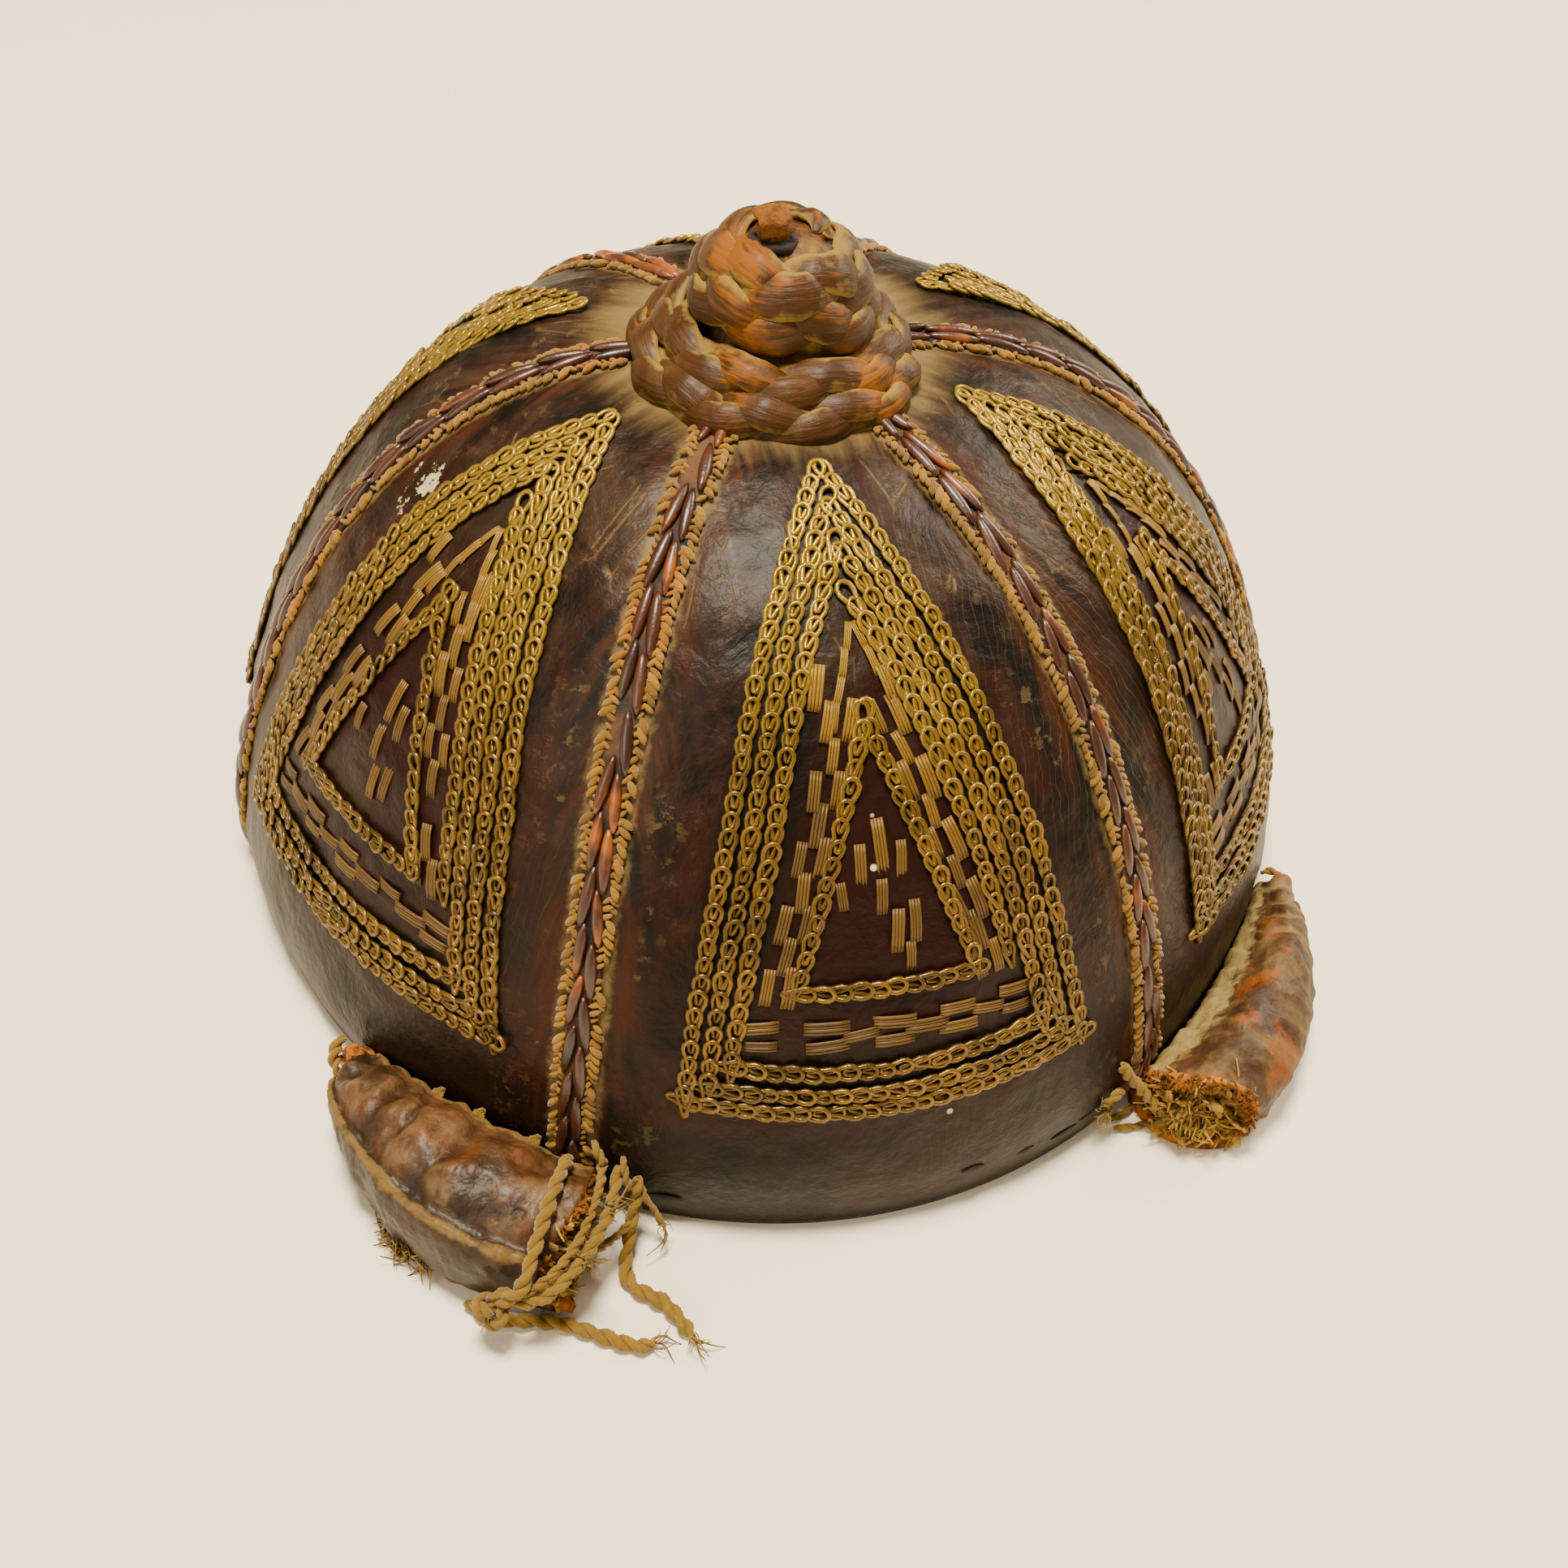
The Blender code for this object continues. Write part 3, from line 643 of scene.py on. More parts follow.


# %% [markdown]
# ## Crown leather
# Old leather is never one brown. On the cap it is nearly black beside the seams, red-brown next
# to the embroidery, grey-violet where hands have rubbed it, with a painted sheen in the grey-violet
# towards the top, and dusty round the knot. The gores store how far each point is from those
# places, and the finish turns the distances into bands.

# %% Crown leather finish
def crown_leather_finish():
    hide = Finish("dark_worn_crown_leather")
    seam = hide.stored("seam")
    rise = hide.stored("rise")
    field = hide.stored("field")
    edge = field * -1.0
    streaks = hide.grain(1.0, 5.0, 0.6, at=hide.stretched("plan", (260.0, 38.0, 60.0)))
    broad = hide.grain(26.0, 4.0, 0.6, 0.4)
    blotch = hide.grain(75.0, 5.0, 0.65, 0.3)
    fine = hide.grain(420.0, 4.0, 0.65)
    # Black hide, browner in broad patches, and red-brown where the dye has worn beside the welts
    colour = hide.blend(paint(9, 6, 3), paint(31, 18, 7), broad.step(0.36, 0.64))
    shifted = seam + (blotch - 0.5) * 7.0
    beside = shifted.step(2.5, 5.0) * (1 - shifted.step(8.0, 13.0)) * streaks.step(0.38, 0.58)
    colour = hide.blend(colour, paint(56, 22, 6), 0.8 * beside)
    # Small pale flakes in the black band, then the red band along the embroidery
    band = shifted.step(6.0, 9.0) * (1 - shifted.step(12.0, 17.0))
    colour = hide.blend(colour, paint(9, 7, 4), 0.6 * band)
    flaked = fine.step(0.54, 0.60) * blotch.step(0.47, 0.58) * band
    colour = hide.blend(colour, paint(84, 68, 36), 0.65 * flaked)
    along = edge.step(-1.0, 1.5) * (1 - edge.step(3.5, 7.0)) * blotch.step(0.35, 0.6)
    colour = hide.blend(colour, paint(44, 15, 5), 0.75 * along)
    inside = 0.85 * field.step(8.0, 13.0) * (1 - rise.step(95.0, 112.0))
    colour = hide.blend(colour, paint(32, 9, 4), inside)
    # Grey-violet rubbing towards the top, partly a painted sheen where the lamp above catches it, and grime
    # along the rim
    rubbed_sheen = (streaks * 0.6 + blotch * 0.6).step(0.52, 0.78)
    colour = hide.blend(colour, paint(68, 56, 42), 0.5 * rubbed_sheen * rise.step(62.0, 120.0))
    grimy = 0.60 * (1 - rise.step(14.0, 26.0)) * blotch.step(0.3, 0.7)
    colour = hide.blend(colour, paint(34, 20, 10), grimy)
    # Fine cracks near the top, long scratches and a scuff that has gone white
    crack = hide.cells(120.0, "DISTANCE_TO_EDGE", at=hide.stretched("plan", (1.0, 0.4, 1.0)))
    cracked = (1 - crack.step(0.0, 0.03)) * blotch.step(0.50, 0.60) * rise.step(92.0, 108.0)
    colour = hide.blend(colour, paint(118, 90, 48), 0.45 * cracked)
    lines = hide.stretched("plan", (520.0, 260.0, 1.0))
    sockets = {0: lines, 1: 0.4, 2: 9.0, 3: 3.0}
    scratch = hide.node("ShaderNodeTexWave", dict(wave_type="BANDS"), sockets, out=1)
    scored = hide.stored("scored") + 0.2 * broad.step(0.56, 0.64)
    scratched = scratch.step(0.975, 1.0) * (0.25 + fine) * scored
    colour = hide.blend(colour, paint(132, 108, 66), 0.4 * scratched)
    white = hide.stored("scuff") * 1.1 + (fine - 0.5) * 1.8 + (blotch - 0.5) * 1.4
    white = (white + (streaks - 0.5) * 2.0).step(0.92, 1.0)
    colour = hide.blend(colour, paint(186, 172, 136), 0.85 * white)
    # Dust beside the welts and round the knot
    by_seam = (1 - (seam + (fine - 0.5) * 3.0 + (blotch - 0.5) * 2.0).step(3.0, 5.0)) * 0.7
    by_knot = (rise + (streaks - 0.5) * 14.0).step(131.0, 143.0) * 0.85
    dusty = (by_seam.most(by_knot) * (0.45 + blotch * 0.9)).clamp()
    colour = hide.blend(colour, paint(128, 105, 62), dusty)
    specks = (1 - hide.cells(120.0).step(0.05, 0.08)) * hide.grain(24.0, 2.0).step(0.58, 0.62)
    colour = hide.blend(colour, paint(206, 192, 164), specks)
    rough = 0.36 + 0.22 * blotch + 0.28 * dusty - 0.10 * rubbed_sheen + 0.3 * white
    pores = hide.cells(620.0, "SMOOTH_F1")
    relief = pores * 0.35 + fine * 0.5 + cracked * -0.8 + scratched * -0.3 + flaked * -0.5
    normal = hide.bump(relief, 0.0004, 0.65)
    normal = hide.bump(blotch, 0.0018, 0.55, under=normal)
    return hide.surface(colour, rough, normal, coat=0.03, specular=0.13)


CROWN_LEATHER = crown_leather_finish()


# %% [markdown]
# ## The six gores
# The solid gores are coarse, so each is replaced by a dense sheet with a real thickness. It is a
# plain grid on the crown's rule: outer face, inner face and a wall round the edge. Small moves
# along the normal give the cockled hide between the rows of thread.

# %% Build the gores
GORE_ROWS, GORE_COLUMNS = 110, 66
SEAM_SLOT = 2.15 * MM
CROWN_HOLE = 6 * MM


def cockle(points, size, seed):
    """Soft lumps: a sum of a few sine waves in fixed directions."""
    rng = np.random.default_rng(seed)
    total = np.zeros(len(points))
    for _ in range(9):
        direction = rng.normal(size=3)
        direction /= np.linalg.norm(direction)
        wave = size * rng.uniform(0.6, 1.6)
        total += np.sin(points @ direction * 2 * math.pi / wave + rng.uniform(0, 6.3))
    return total / 4


WORN_PLACES = [
    # what it is, azimuth (degrees), height, spread along the leather
    ("scuff", -78, 89 * MM, 8.5 * MM),
    ("scored", 39, 92 * MM, 20 * MM),
    ("scored", 33, 70 * MM, 16 * MM),
]


def worn(kind, points):
    """How far each point lies in one of the worn places of a kind, from 0 to 1."""
    share = np.zeros(len(points))
    for what, azimuth, height, spread in WORN_PLACES:
        if what == kind:
            centre = smooth_crown(np.radians([float(azimuth)]), rise_at_height(np.array([height])))[0]
            share = np.maximum(share, np.exp(-((np.linalg.norm(points - centre, axis=1) / spread) ** 2)))
    return share


def gore(name, azimuth, wide):
    rise = np.linspace(0, float(rise_at_radius(CROWN_HOLE)), GORE_ROWS)
    half = GORE_ANGLE / 2 - np.arcsin(np.minimum(SEAM_SLOT / 2 / radius_at(rise), 0.9))
    share = np.linspace(-1, 1, GORE_COLUMNS)
    share = 0.55 * share + 0.45 * np.sin(share * math.pi / 2)
    angle = math.radians(azimuth) + half[:, None] * share[None, :]
    rise = np.repeat(rise[:, None], GORE_COLUMNS, axis=1)
    angle, rise = angle.ravel(), rise.ravel()
    across = (angle - math.radians(azimuth)) * radius_at(rise)
    outer = crown(angle, rise)
    normal = crown_normal(angle, rise)
    seam = seam_distance(angle, rise)
    field = inside_triangle(across, rise, wide)
    free = np.clip(seam / (6 * MM), 0, 1) * np.clip(rise / (6 * MM), 0, 1)
    move = cockle(outer, 17 * MM, 11) * 0.28 * MM + cockle(outer, 6 * MM, 12) * 0.10 * MM
    outer = outer + normal * (move * free)[:, None]
    level = np.minimum(rise / (12 * MM), 1)
    inward = normal.copy()
    inward[:, 2] *= level
    inner = outer - unit(inward) * LEATHER
    outer[:, 2] = np.where(rise < 0.01 * MM, 0, outer[:, 2])
    inner[:, 2] = np.where(rise < 0.01 * MM, 0, inner[:, 2])
    count = len(outer)
    faces = grid_faces(GORE_ROWS, GORE_COLUMNS)
    faces += grid_faces(GORE_ROWS, GORE_COLUMNS, count, flip=True)
    edge = list(range(GORE_COLUMNS))
    edge += [r * GORE_COLUMNS + GORE_COLUMNS - 1 for r in range(1, GORE_ROWS)]
    edge += [(GORE_ROWS - 1) * GORE_COLUMNS + c for c in range(GORE_COLUMNS - 2, -1, -1)]
    edge += [r * GORE_COLUMNS for r in range(GORE_ROWS - 2, 0, -1)]
    faces += [(a, count + a, count + b, b) for a, b in zip(edge, edge[1:] + edge[:1])]
    plan = np.stack([across, rise, np.full(count, azimuth * 0.01)], axis=1)
    values = dict(
        seam=np.tile(seam * 1000, 2),
        rise=np.tile(rise * 1000, 2),
        field=np.tile(field * 1000, 2),
        plan=np.tile(plan, (2, 1)),
        scuff=np.tile(worn("scuff", outer), 2),
        scored=np.tile(worn("scored", outer), 2),
    )
    points = np.vstack([outer, inner])
    piece = new_piece("crown_gore_" + name, points, faces, CROWN_LEATHER, values)
    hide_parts("gore_" + name)


for row in GORES:
    gore(*row)

# %% [markdown]
# ## Stitches by Geometry Nodes
# Thousands of stitches can't be placed by hand. A stitch is modelled once, and a small tree sets
# it at even steps along a path, or on single points. The path is a mesh of edges whose points
# store two directions: where the row goes, and which way is out of the leather.

# %% A tree that sets a stitch along rows or on points
class Growth(Graph):
    """A geometry tree with named inputs."""

    def __init__(self, name, inputs):
        super().__init__(bpy.data.node_groups.new(name, "GeometryNodeTree"))
        face = self.tree.interface
        face.new_socket("Geometry", in_out="INPUT", socket_type="NodeSocketGeometry")
        for label, kind in inputs:
            face.new_socket(label, in_out="INPUT", socket_type="NodeSocket" + kind)
        face.new_socket("Geometry", in_out="OUTPUT", socket_type="NodeSocketGeometry")
        entry = self.tree.nodes.new("NodeGroupInput")
        self.given = {socket.name: Link(self, socket) for socket in entry.outputs if socket.name}

    def vector(self, name):
        settings = dict(data_type="FLOAT_VECTOR")
        return self.node("GeometryNodeInputNamedAttribute", settings, {"Name": name})

    def random(self, shift, limits=None):
        """A random number for each stitch, with its own shift of the seed."""
        sockets = {**(limits or {}), "Seed": self.given["Seed"] + shift}
        return self.node("FunctionNodeRandomValue", dict(data_type="FLOAT"), sockets, out=1)

    def end(self, geometry):
        real = self.node("GeometryNodeRealizeInstances", {}, {0: geometry})
        dressed = self.node("GeometryNodeSetMaterial", {}, {0: real, 2: self.given["Finish"]})
        self.node("NodeGroupOutput", {}, {0: dressed})
        return self.tree


def stitch_tree(name, along):
    inputs = [("Stitch", "Object"), ("Pitch", "Float"), ("Tilt", "Float"), ("Uneven", "Float")]
    inputs += [("Missing", "Float"), ("Seed", "Int"), ("Finish", "Material")]
    tree = Growth(name, inputs)
    given = tree.given
    points = given["Geometry"]
    if along:
        curve = tree.node("GeometryNodeMeshToCurve", {}, {0: points})
        sockets = {"Curve": curve, "Length": given["Pitch"]}
        points = tree.node("GeometryNodeResampleCurve", dict(mode="LENGTH"), sockets)
    settings = dict(primary_axis="Z", secondary_axis="X")
    sockets = {0: tree.vector("out"), 1: tree.vector("ahead")}
    facing = tree.node("FunctionNodeAxesToRotation", settings, sockets)
    low, high = -given["Tilt"], given["Tilt"]
    sockets = {0: tree.node("ShaderNodeCombineXYZ", {}, {0: low, 1: low, 2: low})}
    sockets[1] = tree.node("ShaderNodeCombineXYZ", {}, {0: high, 1: high, 2: high})
    sockets["Seed"] = given["Seed"]
    wobble = tree.node("FunctionNodeRandomValue", dict(data_type="FLOAT_VECTOR"), sockets)
    wobble = tree.node("FunctionNodeEulerToRotation", {}, {0: wobble})
    settings = dict(rotation_space="LOCAL")
    facing = tree.node("FunctionNodeRotateRotation", settings, {0: facing, 1: wobble})
    size = tree.random(1, {2: 1 - given["Uneven"], 3: 1 + given["Uneven"]})
    sockets = {0: tree.random(2), 1: given["Missing"]}
    kept = tree.node("FunctionNodeCompare", dict(operation="GREATER_THAN"), sockets)
    shape = tree.node("GeometryNodeObjectInfo", {}, {0: given["Stitch"]}, out=4)
    scale = tree.vector("size")
    scale = tree.node("ShaderNodeVectorMath", dict(operation="SCALE"), {0: scale, 3: size})
    sockets = {0: points, 1: kept, 2: shape, "Rotation": facing, "Scale": scale}
    laid = tree.node("GeometryNodeInstanceOnPoints", {}, sockets)
    settings = dict(data_type="FLOAT", domain="INSTANCE")
    sockets = {0: laid, 2: "tone", 3: tree.random(3)}
    laid = tree.node("GeometryNodeStoreNamedAttribute", settings, sockets)
    return tree.end(laid)


ROWS = stitch_tree("stitches_along_rows", True)
SPOTS = stitch_tree("stitches_on_points", False)


# %% Rows, spots and the call that grows stitches on them
def guide(rows, linked=True):
    """A mesh of rows. A row is a list of points, directions ahead, directions out and sizes."""
    edges, start = [], 0
    for row in rows:
        count = len(row["at"])
        if linked:
            edges += [(start + i, start + i + 1) for i in range(count - 1)]
        start += count
    values = {key: np.concatenate([row[key] for row in rows]) for key in ("ahead", "out")}
    values["size"] = np.concatenate([np.broadcast_to(row["size"], row["at"].shape) for row in rows])
    points = np.concatenate([row["at"] for row in rows])
    return placed("guide", array_mesh("guide", points, edges, [], values))


STITCH_LOWEST = 0.06 * MM


def grow(
    name, rows, stitch, finish, slot, linked=True, pitch=3 * MM, tilt=0.05, uneven=0.08, missing=0.0, seed=1
):
    """Stitches on the rows, turned into one plain mesh."""
    host = guide(rows, linked)
    modifier = host.modifiers.new("stitches", "NODES")
    modifier.node_group = ROWS if linked else SPOTS
    given = dict(Stitch=stitch, Pitch=pitch, Tilt=tilt, Uneven=uneven, Missing=missing)
    given.update(Seed=seed, Finish=finish)
    for socket in modifier.node_group.interface.items_tree:
        if socket.in_out == "INPUT" and socket.name in given:
            modifier[socket.identifier] = given[socket.name]
    evaluated = host.evaluated_get(bpy.context.evaluated_depsgraph_get())
    mesh = bpy.data.meshes.new_from_object(evaluated)
    bpy.data.objects.remove(host, do_unlink=True)
    mesh.name = name
    # Leaves and fibres that would go through the table lie on it
    for vertex in mesh.vertices:
        vertex.co.z = max(vertex.co.z, STITCH_LOWEST)
    mesh.shade_smooth()
    print(name, "has", len(mesh.polygons), "faces")
    hand_over(placed(name, mesh))


TEMPLATES = []


def template(name, points, faces, crest):
    """A stitch modelled once. It never joins the scene, and it is removed before the end."""
    made = bpy.data.objects.new(name, array_mesh(name, points, [], faces, dict(crest=crest)))
    TEMPLATES.append(made)
    return made


# %% [markdown]
# ## Chain stitch in gilt thread
# A chain stitch is a row of loops, each one held down by the next. One loop is a wire bent to a
# drop: a pointed tail that lies low under the loop before it, and a round head that stands up.
# The wire has few faces, because it is repeated about two thousand times.

# %% One loop of the chain, and the flat stitch of four threads
def wire(path, radius, sides=5, closed=False, flat=1.0):
    path = np.asarray(path, float)
    ahead = np.roll(path, -1, axis=0) - np.roll(path, 1, axis=0) if closed else np.gradient(path, axis=0)
    ahead = unit(ahead)
    side = unit(np.cross(ahead, (0, 0, 1.0)))
    theta = around(sides)
    radius = np.broadcast_to(radius, len(path))
    across, rise = np.outer(radius, np.cos(theta)), np.outer(radius, flat * np.sin(theta))
    ring = swept(path, side, np.cross(side, ahead), across, rise)
    faces = ring_faces(len(path), sides, caps=not closed)
    if closed:
        last = (len(path) - 1) * sides
        faces += [(last + j, last + (j + 1) % sides, (j + 1) % sides, j) for j in range(sides)]
    crest = np.tile(0.5 + 0.5 * np.sin(theta), len(path))
    return ring.reshape(-1, 3), faces, crest


LOOP_THREAD = 0.42 * MM
LOOP_HALF = [
    # along the row and across it, in mm, from the tail to the head
    (-2.75, 0), (-2.6, 0.32), (-1.4, 0.48), (-0.2, 0.84), (0.9, 1.16), (1.8, 1.06), (2.4, 0.54), (2.6, 0),
]
FLAT_LENGTH, FLAT_WIDTH, FLAT_THREADS, FLAT_STEPS = 6.3 * MM, 2.0 * MM, 4, 5


def chain_loop():
    outline = np.array(LOOP_HALF + [(x, -y) for x, y in LOOP_HALF[-2:0:-1]]) * MM
    tail, head = LOOP_HALF[0][0] * MM, LOOP_HALF[-1][0] * MM
    share = np.clip((outline[:, 0] - tail) / (head - tail), 0, 1)
    height = LOOP_THREAD * (0.7 + 1.1 * share**1.5)
    return template("chain_loop", *wire(np.column_stack([outline, height]), LOOP_THREAD, closed=True))


def flat_stitch():
    threads = []
    for k in range(FLAT_THREADS):
        y = (k / (FLAT_THREADS - 1) - 0.5) * (FLAT_WIDTH - FLAT_WIDTH / FLAT_THREADS)
        x = np.linspace(-FLAT_LENGTH / 2, FLAT_LENGTH / 2, FLAT_STEPS)
        z = 0.34 * MM * (1 - (2 * x / FLAT_LENGTH) ** 4) + 0.02 * MM + 0.05 * MM * (k % 2)
        path = np.stack([x, np.full(FLAT_STEPS, y), z], axis=1)
        threads.append(wire(path, FLAT_WIDTH / FLAT_THREADS * 0.56, flat=0.8))
    return template("flat_stitch", *joined(threads))


CHAIN_LOOP = chain_loop()
FLAT_STITCH = flat_stitch()


# %% Gilt and ochre thread finishes
def thread_finish(name, light, dark, bright, metal, rough, underside_dirt_and_shade):
    thread = Finish(name)
    shade = thread.grain(140.0, 3.0)
    worn = thread.grain(38.0, 3.0)
    twist = thread.grain(1500.0, 2.0)
    tone = thread.stored("tone")
    colour = thread.blend(dark, light, (shade * 0.6 + tone * 0.5 + (worn - 0.5) * 0.9).clamp())
    # Painted highlight: the thread is painted brighter high on the crown, where the lamp above lights it
    # most, and duller near the rim
    kept = (thread.height() * 1000 + (worn - 0.5) * 30.0).step(62.0, 112.0)
    colour = thread.blend(colour, bright, 0.6 * kept)
    # Dirt and painted shade: the underside of the thread, where it lies against the leather, is painted dark
    low = 1 - thread.stored("crest").step(0.25, 0.75)
    colour = thread.blend(colour, underside_dirt_and_shade, 0.75 * low)
    rough = rough + 0.3 * low + (worn - 0.5) * 0.3
    metal = metal * (1 - low * 0.8)
    return thread.surface(colour, rough, thread.bump(twist, 0.0002, 0.4), metal=metal, specular=0.5)


GILT = thread_finish(
    "gilt_wire_thread", paint(132, 98, 28), paint(48, 34, 9), paint(176, 142, 36),
    0.5, 0.31, paint(20, 13, 6)
)
OCHRE = thread_finish(
    "ochre_flat_stitches", paint(112, 78, 9), paint(58, 38, 5), paint(176, 136, 16),
    0.15, 0.5, paint(24, 15, 3)
)


# %% Rows of one gore
ROW_LIFT, ROW_GAP = 0.05 * MM, 1.0 * MM


def gore_row(azimuth, across, rise):
    """A row laid on a gore through places given as distances across and up."""
    across, rise = even(np.stack([across, rise], axis=1), ROW_GAP).T
    at = on_gore(azimuth, across, rise, ROW_LIFT)
    out = crown_normal(math.radians(azimuth) + across / radius_at(rise), rise)
    return dict(at=at, ahead=unit(np.gradient(at, axis=0)), out=out, size=1.0)


def side_rises(inset, side, wide, base):
    """Places up one side of the triangle, moved in from its edge."""
    rise = np.linspace(BASE_RISE + base, TIP_RISE - inset * 1.6, 60)
    across = side * (half_width(rise, side) * wide - inset * 1.04)
    keep = across * side > 0.15 * MM
    return across[keep], rise[keep]


CHAINS = [
    # inset of the left side, of the right side, of the base, in mm
    (1.6, 1.6, 1.6),
    (4.65, 5.0, 4.7),
    (7.7, 8.1, 8.8),
]
SPARE_CHAIN, SPARE_START = 11.2 * MM, 22 * MM
BASE_BOW = 1.2 * MM
INNER = dict(tip=83.0 * MM, foot=50.0 * MM, left=15.0 * MM, right=12.6 * MM, middle=-1.0 * MM, base=1.6 * MM)


def chain_rows(azimuth, wide):
    rows = []
    for left, right, base in CHAINS:
        base = base * MM
        for side, inset in ((-1, left), (1, right)):
            across, rise = side_rises(inset * MM, side, wide, base)
            rows.append(gore_row(azimuth, across, rise))
        foot = BASE_RISE + base
        ends = (-(half_width(foot, -1) * wide - left * MM), half_width(foot, 1) * wide - right * MM)
        across = np.linspace(ends[0], ends[1], 30)
        rise = foot - BASE_BOW * (1 - (across / max(ends[1], -ends[0])) ** 2)
        rows.append(gore_row(azimuth, across, rise))
    across, rise = side_rises(SPARE_CHAIN, 1, wide, SPARE_START)
    rows.append(gore_row(azimuth, across, rise))
    tip, foot = rise_at_height(INNER["tip"]), rise_at_height(INNER["foot"])
    for corner in (-INNER["left"], INNER["right"]):
        across = np.linspace(corner * wide, INNER["middle"], 20)
        rows.append(gore_row(azimuth, across, np.linspace(foot, tip, 20)))
    across = np.linspace(-INNER["left"] * wide, INNER["right"] * wide, 20)
    rows.append(gore_row(azimuth, across, np.full(20, foot - INNER["base"])))
    return rows


LANE = dict(foot=47 * MM, tip=88 * MM, count=10, lean=0.30, split=1.7 * MM)
LANE["inset"] = {-1: 10.4 * MM, 1: 13.4 * MM}
BASE_LANE = dict(height=41.5 * MM, first=-21.5 * MM, step=5.2 * MM, count=9, split=1.6 * MM)
MOTIFS = [
    # across and height above the table in mm, length against the usual stitch
    (-4.2, 66, 1.0), (-1.0, 68, 1.25), (2.0, 66, 1.0), (-1.4, 61.5, 0.9), (-7.4, 62, 0.8),
    (0.6, 56.5, 1.0), (3.4, 57.5, 1.0), (2.4, 52.5, 0.9),
]
CHEVRONS = dict(height=91 * MM, first=0.9 * MM, step=1.3 * MM, shift=-0.4 * MM, drop=3.9 * MM, count=4)


def split(k, half):
    """One stitch on every second place, and two side by side on the others."""
    return (0.0,) if k % 2 else (-half, half)


def flat_spots(azimuth, wide):
    """Places and headings of the flat stitches: two lanes, a base lane and the motifs."""
    spots = []

    def add(across, rise, heading, long=1.0, broad=1.0):
        spots.append((across, rise, heading, long, broad))

    tip, foot = rise_at_height(LANE["tip"]), rise_at_height(LANE["foot"])
    inner_tip, inner_foot = rise_at_height(INNER["tip"]), rise_at_height(INNER["foot"])
    for side in (-1, 1):
        for k in range(LANE["count"]):
            rise = foot + (tip - foot) * (k + 0.5) / LANE["count"]
            edge = half_width(rise, side) * wide - LANE["inset"][side]
            share = (rise - inner_foot) / (inner_tip - inner_foot)
            inner = (INNER["left"] if side < 0 else INNER["right"]) * wide * (1 - share)
            lane = max(edge + inner, 2 * inner + 3 * MM) / 2 if share < 1 else edge
            if edge < 1.5 * MM:
                continue
            for off in split(k, LANE["split"]):
                add(side * lane + off, rise, math.atan2(-LANE["lean"] * side, 1))
    base = rise_at_height(BASE_LANE["height"])
    for k in range(BASE_LANE["count"]):
        across = (BASE_LANE["first"] + k * BASE_LANE["step"]) * wide
        for off in split(k, BASE_LANE["split"]):
            add(across, base + off, math.pi / 2)
    for x, z, long in MOTIFS:
        add(x * MM, rise_at_height(z * MM), 0.0, long, 0.9)
    top = rise_at_height(CHEVRONS["height"])
    for k in range(CHEVRONS["count"]):
        for side in (-1, 1):
            across = side * (CHEVRONS["first"] + CHEVRONS["step"] * k) + CHEVRONS["shift"]
            add(across, top - CHEVRONS["drop"] * k, -LANE["lean"] * side, 0.75, 0.6)
    across, rise, heading, long, broad = np.array(spots).T
    at = on_gore(azimuth, across, rise, 0.02 * MM)
    angle = math.radians(azimuth) + across / radius_at(rise)
    out = crown_normal(angle, rise)
    up = unit(on_gore(azimuth, across, rise + 1 * MM) - at)
    side = np.cross(up, out)
    ahead = up * np.cos(heading)[:, None] + side * np.sin(heading)[:, None]
    size = np.stack([long, broad, np.ones(len(long))], axis=1)
    return [dict(at=at, ahead=ahead, out=out, size=size)]


# %% Sew the six triangles
CHAIN_SEWING = dict(pitch=2.8 * MM, tilt=0.12, uneven=0.10)
FLAT_SEWING = dict(linked=False, tilt=0.09, uneven=0.14, missing=0.07)
for number, (name, azimuth, wide) in enumerate(GORES):
    rows, spots = chain_rows(azimuth, wide), flat_spots(azimuth, wide)
    grow("chain_stitch_" + name, rows, CHAIN_LOOP, GILT, "yarn", seed=20 + number * 7, **CHAIN_SEWING)
    grow("flat_stitch_" + name, spots, FLAT_STITCH, OCHRE, "yarn", seed=90 + number * 7, **FLAT_SEWING)

# %% [markdown]
# ## Laced seam welts
# The gores are joined by two strands of dark leather lacing that lie side by side on a low ridge,
# with soft yellow thread whipped along both edges. Each strand shows as a row of long leaves,
# half a leaf apart. The ridge is a swept strip; leaves and whipping are grown along the seam.

# %% Welt finishes
def lacing_finish():
    lace = Finish("glossy_dark_lacing")
    tone = lace.stored("tone")
    worn = lace.grain(48.0, 4.0, 0.6)
    fine = lace.grain(600.0, 3.0)
    colour = lace.blend(paint(28, 10, 3), paint(80, 33, 5), (tone * 0.5 + (worn - 0.35) * 1.6).clamp())
    colour = lace.blend(colour, paint(150, 76, 4), 0.85 * (worn + tone * 0.12).step(0.60, 0.70))
    colour = lace.blend(colour, paint(84, 54, 34), 0.3 * lace.grain(30.0, 2.0).step(0.56, 0.70))
    low = 1 - lace.stored("crest").step(0.05, 0.5)
    colour = lace.blend(colour, paint(120, 86, 40), 0.5 * low)
    return lace.surface(colour, 0.26 + 0.35 * low + 0.25 * worn, lace.bump(fine, 0.0003, 0.5), coat=0.25)


def bed_finish():
    bed = Finish("dusty_seam_ridge")
    worn = bed.grain(70.0, 4.0, 0.6)
    colour = bed.blend(paint(20, 10, 7), paint(92, 58, 24), worn.step(0.38, 0.68))
    colour = bed.blend(colour, paint(146, 78, 12), bed.grain(45.0, 4.0).step(0.58, 0.68))
    return bed.surface(colour, 0.8, bed.bump(bed.grain(500.0, 4.0), 0.0006, 0.8))


